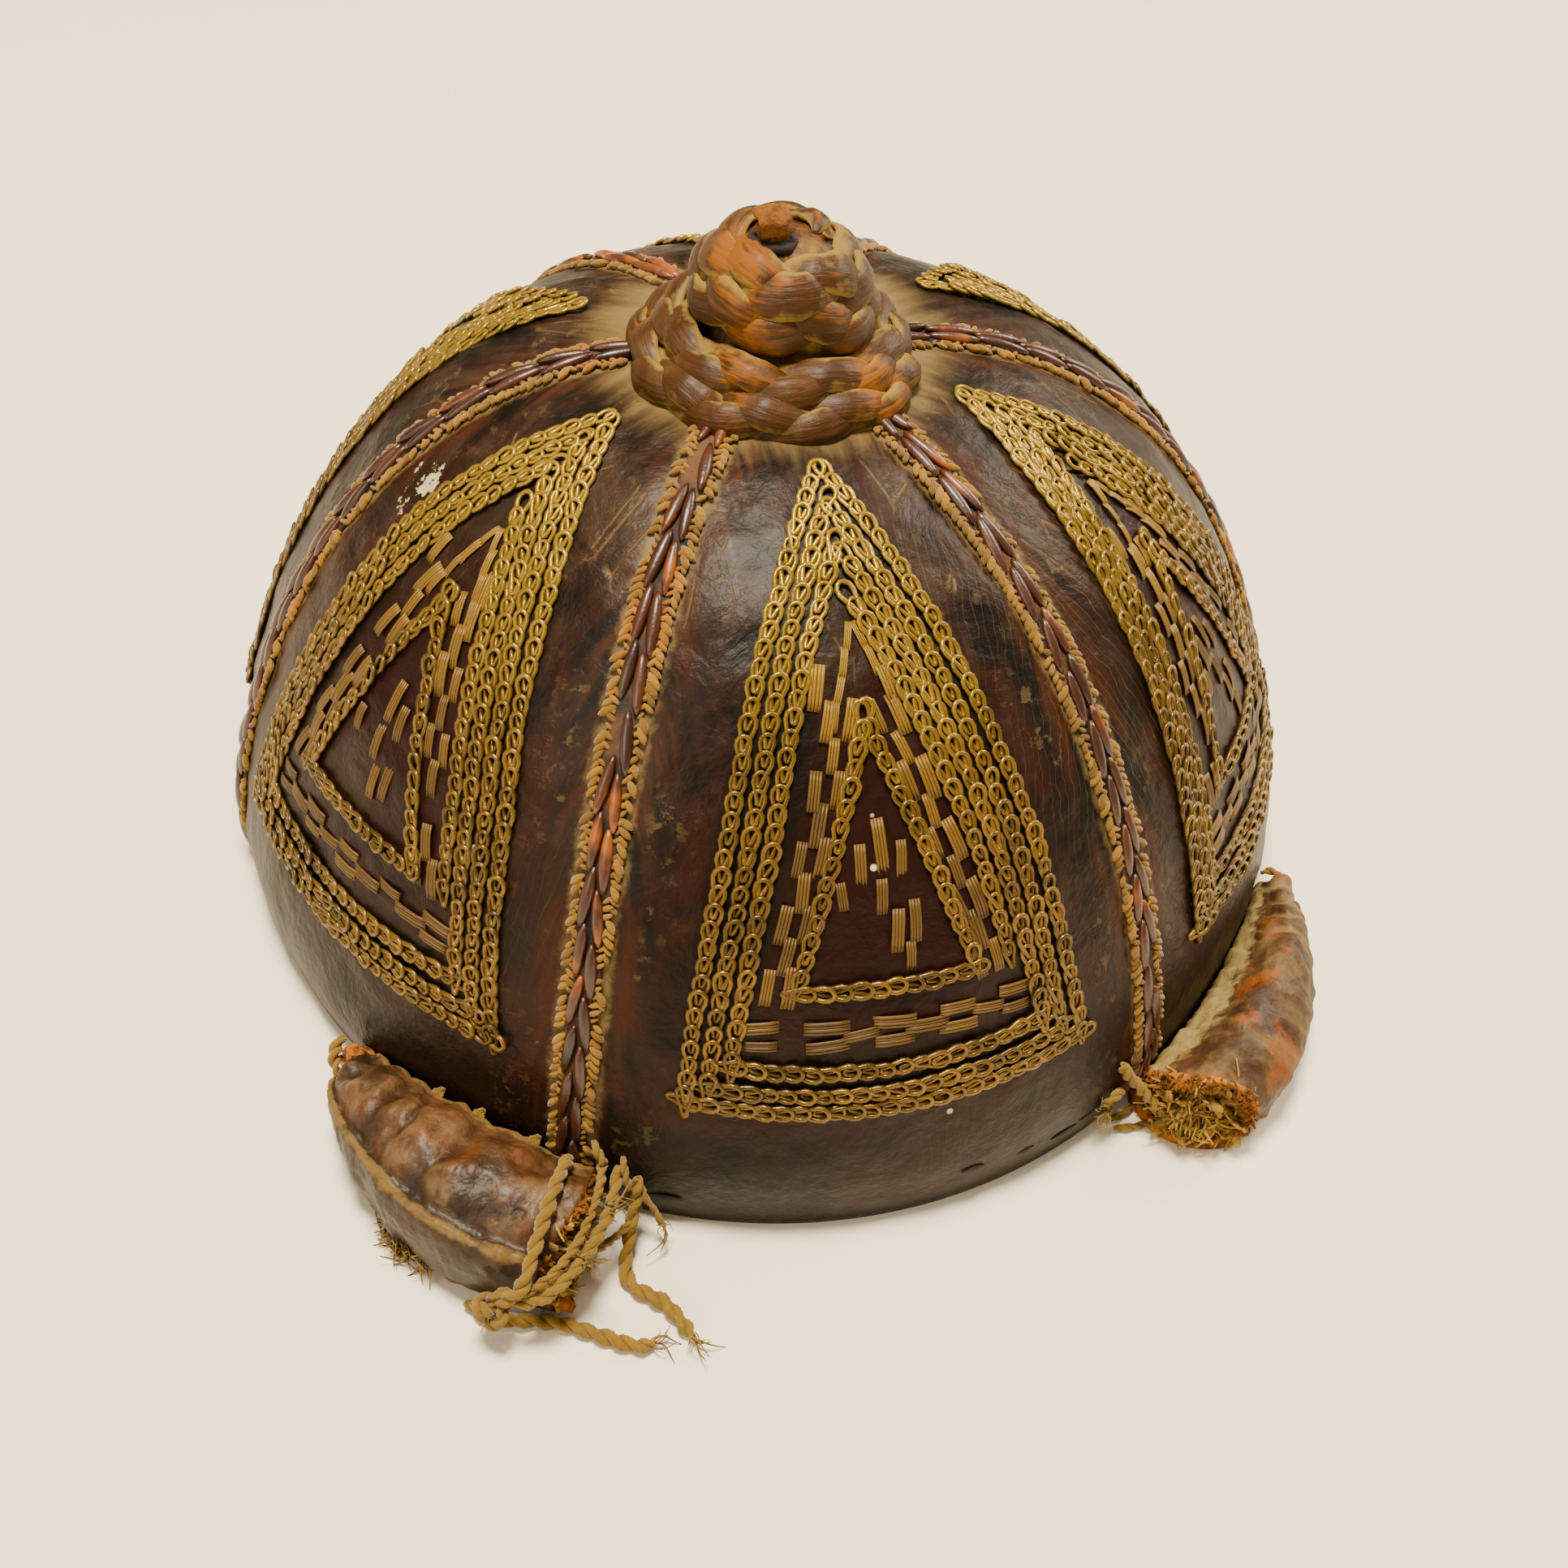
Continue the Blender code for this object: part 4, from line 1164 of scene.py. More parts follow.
def whipping_finish():
    wool = Finish("whipped_yellow_thread")
    tone = wool.stored("tone")
    patch = wool.grain(40.0, 3.0)
    fibre = wool.grain(1100.0, 3.0)
    colour = wool.blend(paint(66, 42, 3), paint(154, 108, 6), (tone * 0.5 + patch * 0.8 - 0.1).clamp())
    colour = wool.blend(colour, paint(150, 78, 2), 0.6 * patch.step(0.56, 0.70))
    return wool.surface(colour, 0.85, wool.bump(fibre, 0.0004, 0.8), sheen=0.3, specular=0.2)


LACING = lacing_finish()
WELT_BED = bed_finish()
WHIPPING = whipping_finish()


# %% One leaf of the lacing, and one whipped stitch
def lens_loft(name, length, width, height, sides=10, steps=9, power=0.55, sink=0.25):
    """A leaf: oval rings that grow from one point and shrink to the other."""
    theta = around(sides)
    rings = []
    for i in range(steps):
        t = i / (steps - 1)
        swell = max(math.sin(math.pi * (0.03 + 0.94 * t)), 0.02) ** power
        y = np.cos(theta) * width / 2 * swell
        z = np.sin(theta) * height / 2 * swell + height * (0.5 - sink)
        rings.append(np.stack([np.full(sides, (t - 0.5) * length), y, z], axis=1))
    crest = np.tile(np.sin(theta) * 0.5 + 0.5, steps)
    return template(name, np.concatenate(rings), ring_faces(steps, sides), crest)


LACE_LEAF = lens_loft("lace_leaf", 9.4 * MM, 2.05 * MM, 1.9 * MM)
WHIP_STITCH = lens_loft("whip_stitch", 2.5 * MM, 1.15 * MM, 1.25 * MM, sides=7, steps=6)

WELTS = [
    # name, azimuth (degrees), height where it starts, crown radius where it stops, seed
    ("front_right", 30, 11 * MM, 27 * MM, 1),
    ("right", 90, 4 * MM, 22 * MM, 2),
    ("back_right", 150, 4 * MM, 19 * MM, 3),
    ("back_left", -150, 4 * MM, 21 * MM, 4),
    ("left", -90, 4 * MM, 25 * MM, 5),
    ("front_left", -30, 8 * MM, 26 * MM, 6),
]


def seam_row(azimuth, start, stop, across, lift, turn=0.0, size=1.0):
    """A row beside a seam. turn swings the stitches away from the seam's line."""
    rise = np.arange(start, stop, 0.7 * MM)
    angle = math.radians(azimuth) + across / radius_at(rise)
    at = crown(angle, rise, lift)
    out = crown_normal(angle, rise)
    ahead = unit(np.gradient(at, axis=0))
    side = np.cross(ahead, out)
    ahead = ahead * math.cos(turn) + side * math.sin(turn)
    return dict(at=at, ahead=ahead, out=out, size=size)


BED_STATIONS = 130
BED_SECTION = [
    # across the seam and up, in mm: the root in the slot, then the ridge over both edges
    (-0.65, -2.2), (0.65, -2.2), (0.65, 0.2), (2.6, 0.25), (2.3, 0.75), (1.2, 0.95), (0, 0.6),
    (-1.2, 0.95), (-2.3, 0.75), (-2.6, 0.25), (-0.65, 0.2),
]


def welt_bed(name, azimuth, start, stop):
    rise = np.linspace(start, stop, BED_STATIONS)
    angle = np.full(BED_STATIONS, math.radians(azimuth))
    at = crown(angle, rise)
    out = crown_normal(angle, rise)
    side = unit(np.cross(unit(np.gradient(at, axis=0)), out))
    across, up = np.array(BED_SECTION).T * MM
    near = np.clip(np.minimum(rise - start, stop - rise) / (3 * MM) + 0.3, 0, 1)
    ring = swept(at, side, out, np.outer(near, across), np.tile(up, (BED_STATIONS, 1)))
    above_table(ring, 0.4 * MM)
    faces = ring_faces(BED_STATIONS, len(BED_SECTION))
    piece = new_piece("welt_ridge_" + name, ring.reshape(-1, 3), faces, WELT_BED)
    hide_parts("welt_" + name)


# %% Lay the six welts
BED_FOOT = 2 * MM
HALF_LEAF = 4.2 * MM
LACED = dict(pitch=8.5 * MM, tilt=0.06, uneven=0.07, missing=0.02)
WHIPPED = dict(pitch=1.35 * MM, tilt=0.28, uneven=0.25, missing=0.22)
for name, azimuth, start, radius, seed in WELTS:
    start, stop = float(rise_at_height(start)), float(rise_at_radius(radius))
    welt_bed(name, azimuth, float(rise_at_height(BED_FOOT)), stop)
    rows = [
        seam_row(azimuth, start, stop, -1.05 * MM, 0.75 * MM, 0.10),
        seam_row(azimuth, start + HALF_LEAF, stop, 1.05 * MM, 0.75 * MM, -0.10),
    ]
    grow("welt_lacing_" + name, rows, LACE_LEAF, LACING, "welt_leather", seed=seed * 11, **LACED)
    rows = []
    for across, lift, swing, size in ((3.0, 0.35, -0.7, 1.0), (2.2, 0.55, 0.9, (0.8, 0.7, 0.7))):
        for side in (-1, 1):
            rows.append(seam_row(azimuth, start, stop, side * across * MM, lift * MM, swing * side, size))
    grow("welt_whipping_" + name, rows, WHIP_STITCH, WHIPPING, "yarn", seed=seed * 13, **WHIPPED)

# %% [markdown]
# ## The plaited topknot
# A flat plait of three leather strands is wound in a coil round the top, and goes on, broader and
# tighter, over the bulb. Each strand swings from side to side of the plait's centre line and dips
# under its neighbours twice in each turn of the pattern, so two sine waves make the whole plait.

# %% Plait finish
def plait_finish():
    hide = Finish("red_brown_plaited_leather")
    crest = hide.stored("crest")
    ends = hide.stored("ends")
    broad = hide.grain(60.0, 4.0, 0.6, 0.3)
    fine = hide.grain(420.0, 4.0, 0.6)
    fibres = hide.grain(1.0, 5.0, 0.6, at=hide.stretched("plan", (1100.0, 120.0, 1.0)))
    colour = hide.blend(paint(21, 11, 2), paint(82, 46, 5), (broad * 1.3 + fibres * 0.6 - 0.45).clamp())
    rust = (hide.grain(46.0, 4.0, 0.65) * 0.8 + fibres * 0.3).step(0.58, 0.68)
    colour = hide.blend(colour, paint(136, 76, 1), 0.75 * rust)
    worn = hide.grain(58.0, 3.0).step(0.54, 0.66) * crest.step(0.75, 1.0)
    colour = hide.blend(colour, paint(92, 72, 46), 0.4 * worn)
    # Painted shade: each strand is painted darker where it dives under its neighbours; the stored "ends"
    # holds how far under it lies
    colour = hide.blend(colour, paint(28, 15, 5), 0.6 * ends.step(0.55, 1.0))
    groove = 1 - (crest + (fine - 0.5) * 0.5 + (broad - 0.5) * 1.1 + (fibres - 0.5) * 0.4).step(0.60, 0.86)
    colour = hide.blend(colour, paint(138, 110, 48), 0.8 * groove)
    rough = 0.38 + 0.38 * groove + 0.25 * rust + 0.15 * broad
    normal = hide.bump(fibres * 0.8 + fine * 0.4, 0.0006, 0.8)
    normal = hide.bump(broad, 0.0015, 0.4, under=normal)
    return hide.surface(colour, rough, normal, coat=0.04, specular=0.22)


PLAIT_LEATHER = plait_finish()

# %% The coil's centre line
KNOT_SHIFT, KNOT_SHIFT_AT, KNOT_LEAN = 4.0 * MM, math.radians(-4), 0.07
COIL_START_AT = math.radians(75)
APEX = smooth_crown(np.array([0.0]), np.array([GORE_LENGTH * 0.9999]))[0]
KNOT_BASE = float(smooth_crown(np.array([0.0]), rise_at_radius(np.array([4.5 * MM])))[0, 2])
COIL = [
    # turns, radius, height of the plait's middle above the leather, tilt of its face, width
    (0.00, 22.2, 2.2, 30, 0.75),
    (0.12, 22.2, 2.7, 34, 0.92),
    (0.25, 22.0, 3.0, 36, 0.95),
    (0.50, 21.6, 3.4, 36, 0.95),
    (0.75, 20.8, 4.0, 38, 0.95),
    (1.00, 19.0, 5.8, 40, 0.95),
    (1.25, 17.9, 7.0, 42, 0.92),
    (1.50, 17.2, 7.9, 40, 0.92),
    (1.75, 16.2, 9.2, 34, 0.95),
    (2.00, 14.0, 12.0, 20, 1.0),
    (2.25, 12.6, 14.8, 6, 1.1),
    (2.50, 12.7, 15.6, 10, 1.15),
    (2.75, 12.4, 16.6, 18, 1.15),
    (3.00, 11.5, 18.5, 30, 1.15),
    (3.25, 10.0, 20.6, 44, 1.15),
    (3.50, 8.9, 21.8, 52, 1.12),
    (3.75, 7.6, 22.7, 60, 1.05),
    (4.00, 6.0, 23.4, 68, 0.85),
]
STRAND_HALF, STRAND_THICK = 2.75 * MM, 1.15 * MM
PLAIT_SWING, PLAIT_DIP, PLAIT_PERIOD = 2.0 * MM, 1.3 * MM, 44 * MM
COIL_STEPS, COIL_REACH, STRAND_SIDES = 1000, 40, 16


def knot_axis(height):
    height = np.asarray(height, float)
    ahead = KNOT_SHIFT + KNOT_LEAN * height
    base = np.array([APEX[0], APEX[1], KNOT_BASE])
    up = np.stack([height * 0, height * 0, height], -1)
    return base + outward(np.full(height.shape, KNOT_SHIFT_AT)) * ahead[..., None] + up


def coil_line():
    table = np.array(COIL)
    turns = np.linspace(0, table[-1, 0], COIL_STEPS)
    columns = [np.interp(turns, table[:, 0], table[:, k]) for k in range(1, 5)]
    # A short running mean takes the corners out of the table's straight steps
    kernel = np.hanning(2 * COIL_REACH + 1)
    kernel = kernel / kernel.sum()
    columns = [np.convolve(np.pad(c, COIL_REACH, mode="edge"), kernel, mode="valid") for c in columns]
    radius, height, tilt, wide = columns
    angle = COIL_START_AT - turns * 2 * np.pi
    out = outward(angle)
    at = knot_axis(height * MM) + out * (radius * MM)[:, None]
    return at, out, np.radians(tilt), wide


def strand(index):
    """One strand of the plait as a flat tube, thicker along its middle."""
    at, out, tilt, wide = coil_line()
    ahead = unit(np.gradient(at, axis=0))
    along = lengths(at)
    face = out * np.cos(tilt)[:, None] + np.array([0, 0, 1.0]) * np.sin(tilt)[:, None]
    face = unit(face - ahead * (face * ahead).sum(1)[:, None])
    broad = np.cross(ahead, face)
    phase = 2 * np.pi * (along / PLAIT_PERIOD + index / 3)
    swing = np.sin(phase) * PLAIT_SWING * wide
    dip = np.sin(2 * phase) * PLAIT_DIP
    centre = at + broad * swing[:, None] + face * dip[:, None]
    heading = unit(np.gradient(centre, axis=0))
    side = unit(np.cross(face, heading))
    top = np.cross(heading, side)
    ends = np.clip(np.minimum(along, along[-1] - along) / (5 * MM) + 0.2, 0, 1)
    theta = around(STRAND_SIDES)
    # The strap is broad in the middle of each visible lobe and pinched where it dives
    lump = 1 + 0.12 * np.sin(2 * phase)
    lump = lump + 0.05 * np.sin(along / (3.1 * MM) + index * 2)
    lump = lump + 0.04 * np.sin(along / (1.3 * MM) + index)
    across = np.outer(STRAND_HALF * wide * ends * lump, np.cos(theta))
    ring = swept(centre, side, top, across, np.outer(STRAND_THICK * ends, np.sin(theta)))
    under = np.repeat((0.5 - 0.5 * np.sin(2 * phase))[:, None], STRAND_SIDES, axis=1)
    crest = (np.sin(theta)[None] * 0.5 + 0.5) * (1 - 0.4 * under**2)
    rows = np.repeat(along[:, None], STRAND_SIDES, 1)
    plan = np.stack([across, rows, np.full(across.shape, index * 1.0)], -1)
    # The plait wraps round a rope or a ball, so it bends down to both sides of its middle
    off = ((ring - at[:, None]) * broad[:, None]).sum(-1)
    rope = np.interp(at[:, 2] - at[0, 2], np.array([8, 14]) * MM, np.array([8, 13]) * MM)
    ring = ring - face[:, None] * (off**2 / (2 * rope[:, None]))[..., None]
    points = ring.reshape(-1, 3)
    away = unit(points - np.repeat(centre, STRAND_SIDES, 0))
    points = points + away * (cockle(points, 3 * MM, 44) * 0.12 * MM)[:, None]
    return points, ring_faces(len(at), STRAND_SIDES), crest.ravel(), under.ravel(), plan.reshape(-1, 3)


# %% Wind the three strands
points, faces, crest, ends, plan = joined([strand(index) for index in range(3)])
values = dict(crest=crest, ends=ends, plan=plan)
plait = new_piece("topknot_plait", points, faces, PLAIT_LEATHER, values)
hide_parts("topknot_braid")


# %% The core under the plait, and the cut end on top
def turned(name, rows, finish, sides, seed, lumps=0.3 * MM, grain=4 * MM, shift=(0, 0), crest=0.2):
    """A lathe shape round the knot's axis, roughened by soft lumps. Its rows are in mm."""
    theta = around(sides)
    route = spline(np.array(rows), 3)
    rings = []
    for height, radius in route:
        centre = knot_axis(np.array(height * MM)) + np.array([shift[0], shift[1], 0]) * MM
        rings.append(centre + outward(theta) * max(radius, 0.05) * MM)
    points = np.concatenate(rings)
    middle = points.mean(0)
    points = points + unit(points - middle) * (cockle(points, grain, seed) * lumps)[:, None]
    faces = ring_faces(len(rings), sides)
    level = np.full(len(points), crest)
    plan = np.stack([np.tile(theta * 0.01, len(rings)), points[:, 2], points[:, 0]], axis=1)
    values = dict(crest=level, ends=level * 0, plan=plan)
    return new_piece(name, points, faces, finish, values)


CORE = [
    # height and radius in mm
    (-1.5, 9.0), (1, 14.0), (4, 15.0), (7, 13.6), (10, 11.6), (13, 11.0), (16, 10.8),
    (18.5, 10.0), (20.5, 9.0), (22.3, 7.6), (23.8, 5.6), (24.6, 3.4), (24.8, 0.4),
]
core = turned("topknot_core", CORE, PLAIT_LEATHER, 48, 5, crest=0.88)
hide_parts("topknot_bulb")


def rust_finish():
    rust = Finish("rough_rust_leather_end")
    broad = rust.grain(240.0, 5.0, 0.7)
    fine = rust.grain(900.0, 4.0, 0.7)
    colour = rust.blend(paint(34, 15, 3), paint(158, 92, 2), (broad * 2.0 - 0.6).clamp())
    return rust.surface(colour, 0.8, rust.bump(broad * 0.7 + fine * 0.5, 0.0014, 1.0), specular=0.3)


# Painted shade: a flat dark finish laid where a hollow or a cut would be dark
def hollow_finish():
    hollow = Finish("dark_torn_hollow")
    fine = hollow.grain(500.0, 4.0)
    colour = hollow.blend(paint(12, 8, 6), paint(40, 22, 12), fine)
    return hollow.surface(colour, 0.9, hollow.bump(fine, 0.0006, 0.8))


RUST_LEATHER = rust_finish()
HOLLOW_SHADE = hollow_finish()
STUB_SHIFT, STUB_AT = 3.4, math.radians(-46)
stub_shift = (math.sin(STUB_AT) * STUB_SHIFT, -math.cos(STUB_AT) * STUB_SHIFT)
# Height and radius in mm
STUB = [(22.5, 2.0), (24, 2.1), (25.4, 2.3), (26.8, 2.8), (28.2, 2.9), (29.2, 2.2), (29.6, 1.0), (29.6, 0.2)]
stub = turned("topknot_cut_end", STUB, RUST_LEATHER, 30, 8, 0.7 * MM, 2.6 * MM, stub_shift)
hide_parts("topknot_stub")
# A dark disc round the foot of the cut end: painted shade for the torn hollow there
HOLE = [(23.6, 3.9), (24.6, 3.8), (25.0, 3.2), (24.8, 0.3)]
turned("topknot_torn_hollow", HOLE, HOLLOW_SHADE, 30, 9, 0.25 * MM, 3 * MM, stub_shift)

# %% [markdown]
# ## The stuffed side rolls
# Each roll is a leather pouch full of straw, sewn along the rim. Its top bulges between creases,
# a dusty raised seam runs along its outer edge, and its near end is cut open. The sections follow
# the solid's closely, drawn smooth, and the creases, ridge and lumps are moves of their points.
# The left roll has a neck before its tip, which the plainer solid leaves out.

# %% Roll finishes
def roll_finish(name, base, dark, light, stain, stains, crease_shade_and_dust, dusty, dusting, gloss):
    hide = Finish(name)
    ridge = hide.stored("ridge")
    top = hide.stored("top")
    crease = hide.stored("crease")
    raw = hide.stored("raw")
    broad = hide.grain(70.0, 4.0, 0.6, 0.4)
    blotch = hide.grain(130.0, 4.0, 0.6)
    fine = hide.grain(420.0, 4.0, 0.65)
    colour = hide.blend(dark, base, (broad * 0.7 + blotch * 0.5).step(0.46, 0.72))
    # Painted highlight: the top of the roll is painted lighter, where the lamp above falls on it
    colour = hide.blend(colour, light, 0.55 * top * blotch.step(0.48, 0.66))
    stained = (hide.grain(95.0, 4.0, 0.6) * 0.8 + blotch * 0.25).step(0.53, 0.62)
    colour = hide.blend(colour, stain, stains * stained * (0.3 + top * 0.7))
    # Painted shade: away from the top, on the sides, the underside and inside the open end, the leather is
    # painted darker
    colour = hide.blend(colour, dark, 0.75 * (1 - top.step(0.0, 0.5)))
    # Creases take their own colour: painted shade on the left roll, dust on the right roll
    colour = hide.blend(colour, crease_shade_and_dust, 0.6 * crease.step(0.3, 0.9))
    haze = (blotch * 0.6 + fine * 0.5 + dusting).step(0.62, 0.92)
    colour = hide.blend(colour, paint(118, 98, 58), 0.5 * haze)
    dust = (ridge + (fine - 0.5) * 0.9 + (blotch - 0.5) * 0.6).step(0.62, 0.95)
    colour = hide.blend(colour, dusty, 0.8 * dust)
    suede = (raw * 1.4 + (fine - 0.5) * 1.0 + (blotch - 0.5) * 0.8).step(0.55, 0.85)
    colour = hide.blend(colour, hide.blend(paint(84, 40, 8), paint(164, 96, 12), fine.step(0.4, 0.6)), suede)
    rough = gloss + 0.28 * dust + 0.2 * haze + 0.15 * broad + 0.35 * suede
    relief = fine * 0.6 + hide.cells(700.0, "SMOOTH_F1") * 0.4
    normal = hide.bump(relief, 0.0005, 0.7)
    normal = hide.bump(blotch, 0.0018, 0.6, under=normal)
    return hide.surface(colour, rough, normal, coat=0.05, specular=0.28)


LEFT_HIDE = roll_finish(
    "plum_brown_roll_leather", paint(84, 54, 26), paint(36, 23, 10), paint(118, 92, 64), paint(100, 46, 8),
    0.3, paint(26, 15, 8), paint(118, 90, 42), 0.04, 0.42,
)
RIGHT_HIDE = roll_finish(
    "chestnut_roll_leather", paint(78, 50, 20), paint(52, 31, 12), paint(102, 80, 44), paint(124, 58, 1),
    0.9, paint(132, 106, 62), paint(150, 126, 74), 0.15, 0.50,
)

# %% Sections and tables of the two rolls
LEFT_SECTION = [
    # share of the width out from the crown, share of the height, ridge, top
    (0.05, 0.015, 0, 0), (0.00, 0.28, 0.1, 0), (0.02, 0.58, 0.5, 0), (0.09, 0.74, 1.0, 0.2),
    (0.20, 0.83, 0.1, 0.8),
    (0.37, 0.96, 0, 1), (0.62, 1.00, 0, 1), (0.78, 0.91, 0, 0.9), (0.86, 0.80, 0.3, 0.1), (0.93, 0.81, 1, 0),
    (0.99, 0.70, 0.3, 0), (1.00, 0.45, 0, 0), (0.99, 0.20, 0, 0), (0.93, 0.015, 0.2, 0), (0.62, 0.015, 0, 0),
    (0.32, 0.015, 0, 0),
]
RIGHT_SECTION = [
    # share of the width out from the crown, share of the height, ridge, top
    (0.05, 0.015, 0, 0), (0.00, 0.20, 0.2, 0), (0.02, 0.46, 0.9, 0), (0.16, 0.66, 1.0, 0),
    (0.34, 0.86, 0.5, 0.5),
    (0.54, 0.99, 0, 1), (0.74, 0.98, 0, 1), (0.90, 0.82, 0, 0.9), (0.99, 0.58, 0.1, 0.5),
    (1.00, 0.34, 0.3, 0),
    (0.97, 0.12, 0.8, 0), (0.88, 0.015, 0.2, 0), (0.58, 0.015, 0, 0), (0.30, 0.015, 0, 0),
]
LEFT_ROLL = [
    # azimuth (degrees), width out from the crown and height in mm
    (-27.4, 22.8, 17.0), (-33.0, 24.2, 19.0), (-38.0, 23.6, 19.6), (-43.0, 20.4, 18.8),
    (-47.0, 17.2, 17.4), (-50.5, 13.6, 15.4), (-52.3, 10.4, 13.6), (-53.8, 6.2, 12.0),
    (-56.2, 4.6, 10.0),
]
RIGHT_ROLL = [
    # azimuth (degrees), width out from the crown and height in mm
    (31.0, 19.4, 17.4), (37.0, 20.2, 18.0), (43.0, 19.0, 18.2), (50.0, 15.6, 17.6),
    (56.0, 11.4, 15.6), (60.0, 8.0, 13.0), (64.5, 5.4, 9.5),
]
ROLLS = dict(
    left=dict(
        section=LEFT_SECTION,
        table=LEFT_ROLL,
        # how far the cut end runs on in mm: the foot's tongue, then inner, middle and outer edge
        end=(3.0, -0.5, 1.0, -2.5),
        # azimuth, depth and spread of the deep creases
        creases=[(-37.5, 0.8, 0.7), (-42.5, 0.7, 0.6), (-45.5, 1.0, 0.8), (-50.5, 1.2, 0.9)],
        finish=LEFT_HIDE,
        seed=3,
        raw_edge=0.3,
        raw_tip=1.0,
    ),
    right=dict(
        section=RIGHT_SECTION,
        table=RIGHT_ROLL,
        end=(3.0, 2.0, 3.0, -6.0),
        creases=[(45.0, 0.4, 0.6), (52.5, 1.0, 0.5), (54.6, 0.9, 0.45), (57.5, 1.1, 0.6), (61.0, 1.0, 0.8)],
        finish=RIGHT_HIDE,
        seed=9,
        raw_edge=1.0,
        raw_tip=0.3,
    ),
)
POUCH_GAP, POUCH_WALL = 0.5 * MM, 1.8 * MM
ROLL_STATIONS, ROLL_SIDES = 110, 72
LESSER_CREASES = 9


def beside_rim(azimuth, out, up):
    """Points out from the crown's surface, at their own height."""
    low = up < BULGE_HEIGHT
    bulge = 1 - (1 - RIM_SHARE) * (1 - np.minimum(up, BULGE_HEIGHT) / BULGE_HEIGHT) ** 2
    share = np.clip((up - BULGE_HEIGHT) / (CROWN_HEIGHT - BULGE_HEIGHT), 0, 1)
    dome = np.cos(np.arcsin(share ** (1 / RISE_POWER))) ** SHOULDER_POWER
    radius = CROWN_RADIUS * np.where(low, bulge, dome) * oval(azimuth) + out
    lean = (up / CROWN_HEIGHT) ** 2
    at = outward(azimuth) * radius[..., None]
    at[..., 0] += LEAN[0] * lean
    at[..., 1] += LEAN[1] * lean
    at[..., 2] = up
    return at


def smooth_ring(section, sides):
    """The closed section as an even, smooth ring of columns."""
    table = np.array(section, float)
    closed = np.vstack([table[-2:], table, table[:2]])
    fine = spline(closed, 12)[24:-24]
    along = lengths(fine[:, :2])
    marks = np.linspace(0, along[-1], sides, endpoint=False)
    return np.stack([np.interp(marks, along, fine[:, k]) for k in range(fine.shape[1])], axis=1)


def roll_grid(side, inset=0.0):
    """Rings of a roll from its near end to its tip, with what each point stores."""
    roll = ROLLS[side]
    ring = smooth_ring(roll["section"], ROLL_SIDES)
    table = np.array(roll["table"])
    sign = 1 if side == "left" else -1
    azimuth = np.linspace(table[0, 0], table[-1, 0], ROLL_STATIONS)
    near = spline(table, 8)
    order = np.argsort(near[:, 0])
    width = np.interp(azimuth, near[order, 0], near[order, 1]) * MM
    height = np.interp(azimuth, near[order, 0], near[order, 2]) * MM
    share = np.linspace(0, 1, ROLL_STATIONS)
    close = np.sqrt(np.clip((1 - share) / 0.07, 0, 1))
    fade = np.clip(1 - share * 4, 0, 1)
    out, up, ridge, top = ring.T
    rng = np.random.default_rng(roll["seed"])
    arcs = list(roll["creases"])
    for _ in range(LESSER_CREASES):
        where, depth = rng.uniform(azimuth.min(), azimuth.max()), rng.uniform(0.15, 0.4)
        arcs.append((where, depth, rng.uniform(0.25, 0.5)))
    crease = np.zeros((ROLL_STATIONS, ROLL_SIDES))
    for where, depth, spread in arcs:
        # Each crease is an arc: it bends towards the tip at both sides of the top
        bend = sign * rng.uniform(4, 14) * (out[None] - rng.uniform(0.4, 0.65)) ** 2
        crease += depth * np.exp(-(((azimuth[:, None] + bend - where) / spread) ** 2))
    x = out[None] * width[:, None]
    z = up[None] * height[:, None]
    # The bulge between two creases stands higher than the solid, the crease lies lower
    z = z + (0.6 * MM - crease * 1.1 * MM) * top[None]
    half_x, half_z = width[:, None] * 0.5, height[:, None] * 0.5
    closing = 0.25 + 0.75 * close[:, None]
    x = half_x + (x - half_x) * closing * (1 - inset / np.maximum(half_x, 1e-4))
    z = half_z + (z - half_z) * closing * (1 - inset / np.maximum(half_z, 1e-4))
    z = np.maximum(z, 0.15 * MM + inset)
    tongue, inner, mid, outer = np.array(roll["end"]) * MM
    shift = tongue * (1 - up) * out**2 + inner * (1 - out) * (1 - 2 * out)
    shift = shift + mid * 4 * out * (1 - out) + outer * out * (2 * out - 1)
    angle = np.radians(azimuth)[:, None] + sign * fade[:, None] * shift[None] / CROWN_RADIUS
    at = beside_rim(angle, POUCH_GAP + x, z)
    deep = np.clip(crease, 0, 1) * np.maximum(top[None], 0.15)
    raw = np.clip((share - 0.83) / 0.10, 0, 1) * roll["raw_tip"]
    raw = np.maximum(raw, roll["raw_edge"] * (share < 0.02))
    raw = np.repeat(raw[:, None], ROLL_SIDES, 1)
    stored = dict(
        ridge=np.broadcast_to(np.clip(ridge, 0, 1)[None], deep.shape),
        top=np.broadcast_to(np.clip(top, 0, 1)[None], deep.shape),
        crease=deep,
        raw=raw,
    )
    return at, stored


def grid_normals(grid):
    sideways = np.roll(grid, -1, axis=1) - np.roll(grid, 1, axis=1)
    return unit(np.cross(sideways, np.gradient(grid, axis=0)))


def closed_piece(name, points, faces, finish, values):
    """A piece whose faces are turned outwards once it is whole."""
    piece = new_piece(name, points, faces, finish, values)
    mesh = bmesh.new()
    mesh.from_mesh(piece.data)
    bmesh.ops.recalc_face_normals(mesh, faces=mesh.faces[:])
    mesh.to_mesh(piece.data)
    mesh.free()
    piece.data.shade_smooth()
    return piece


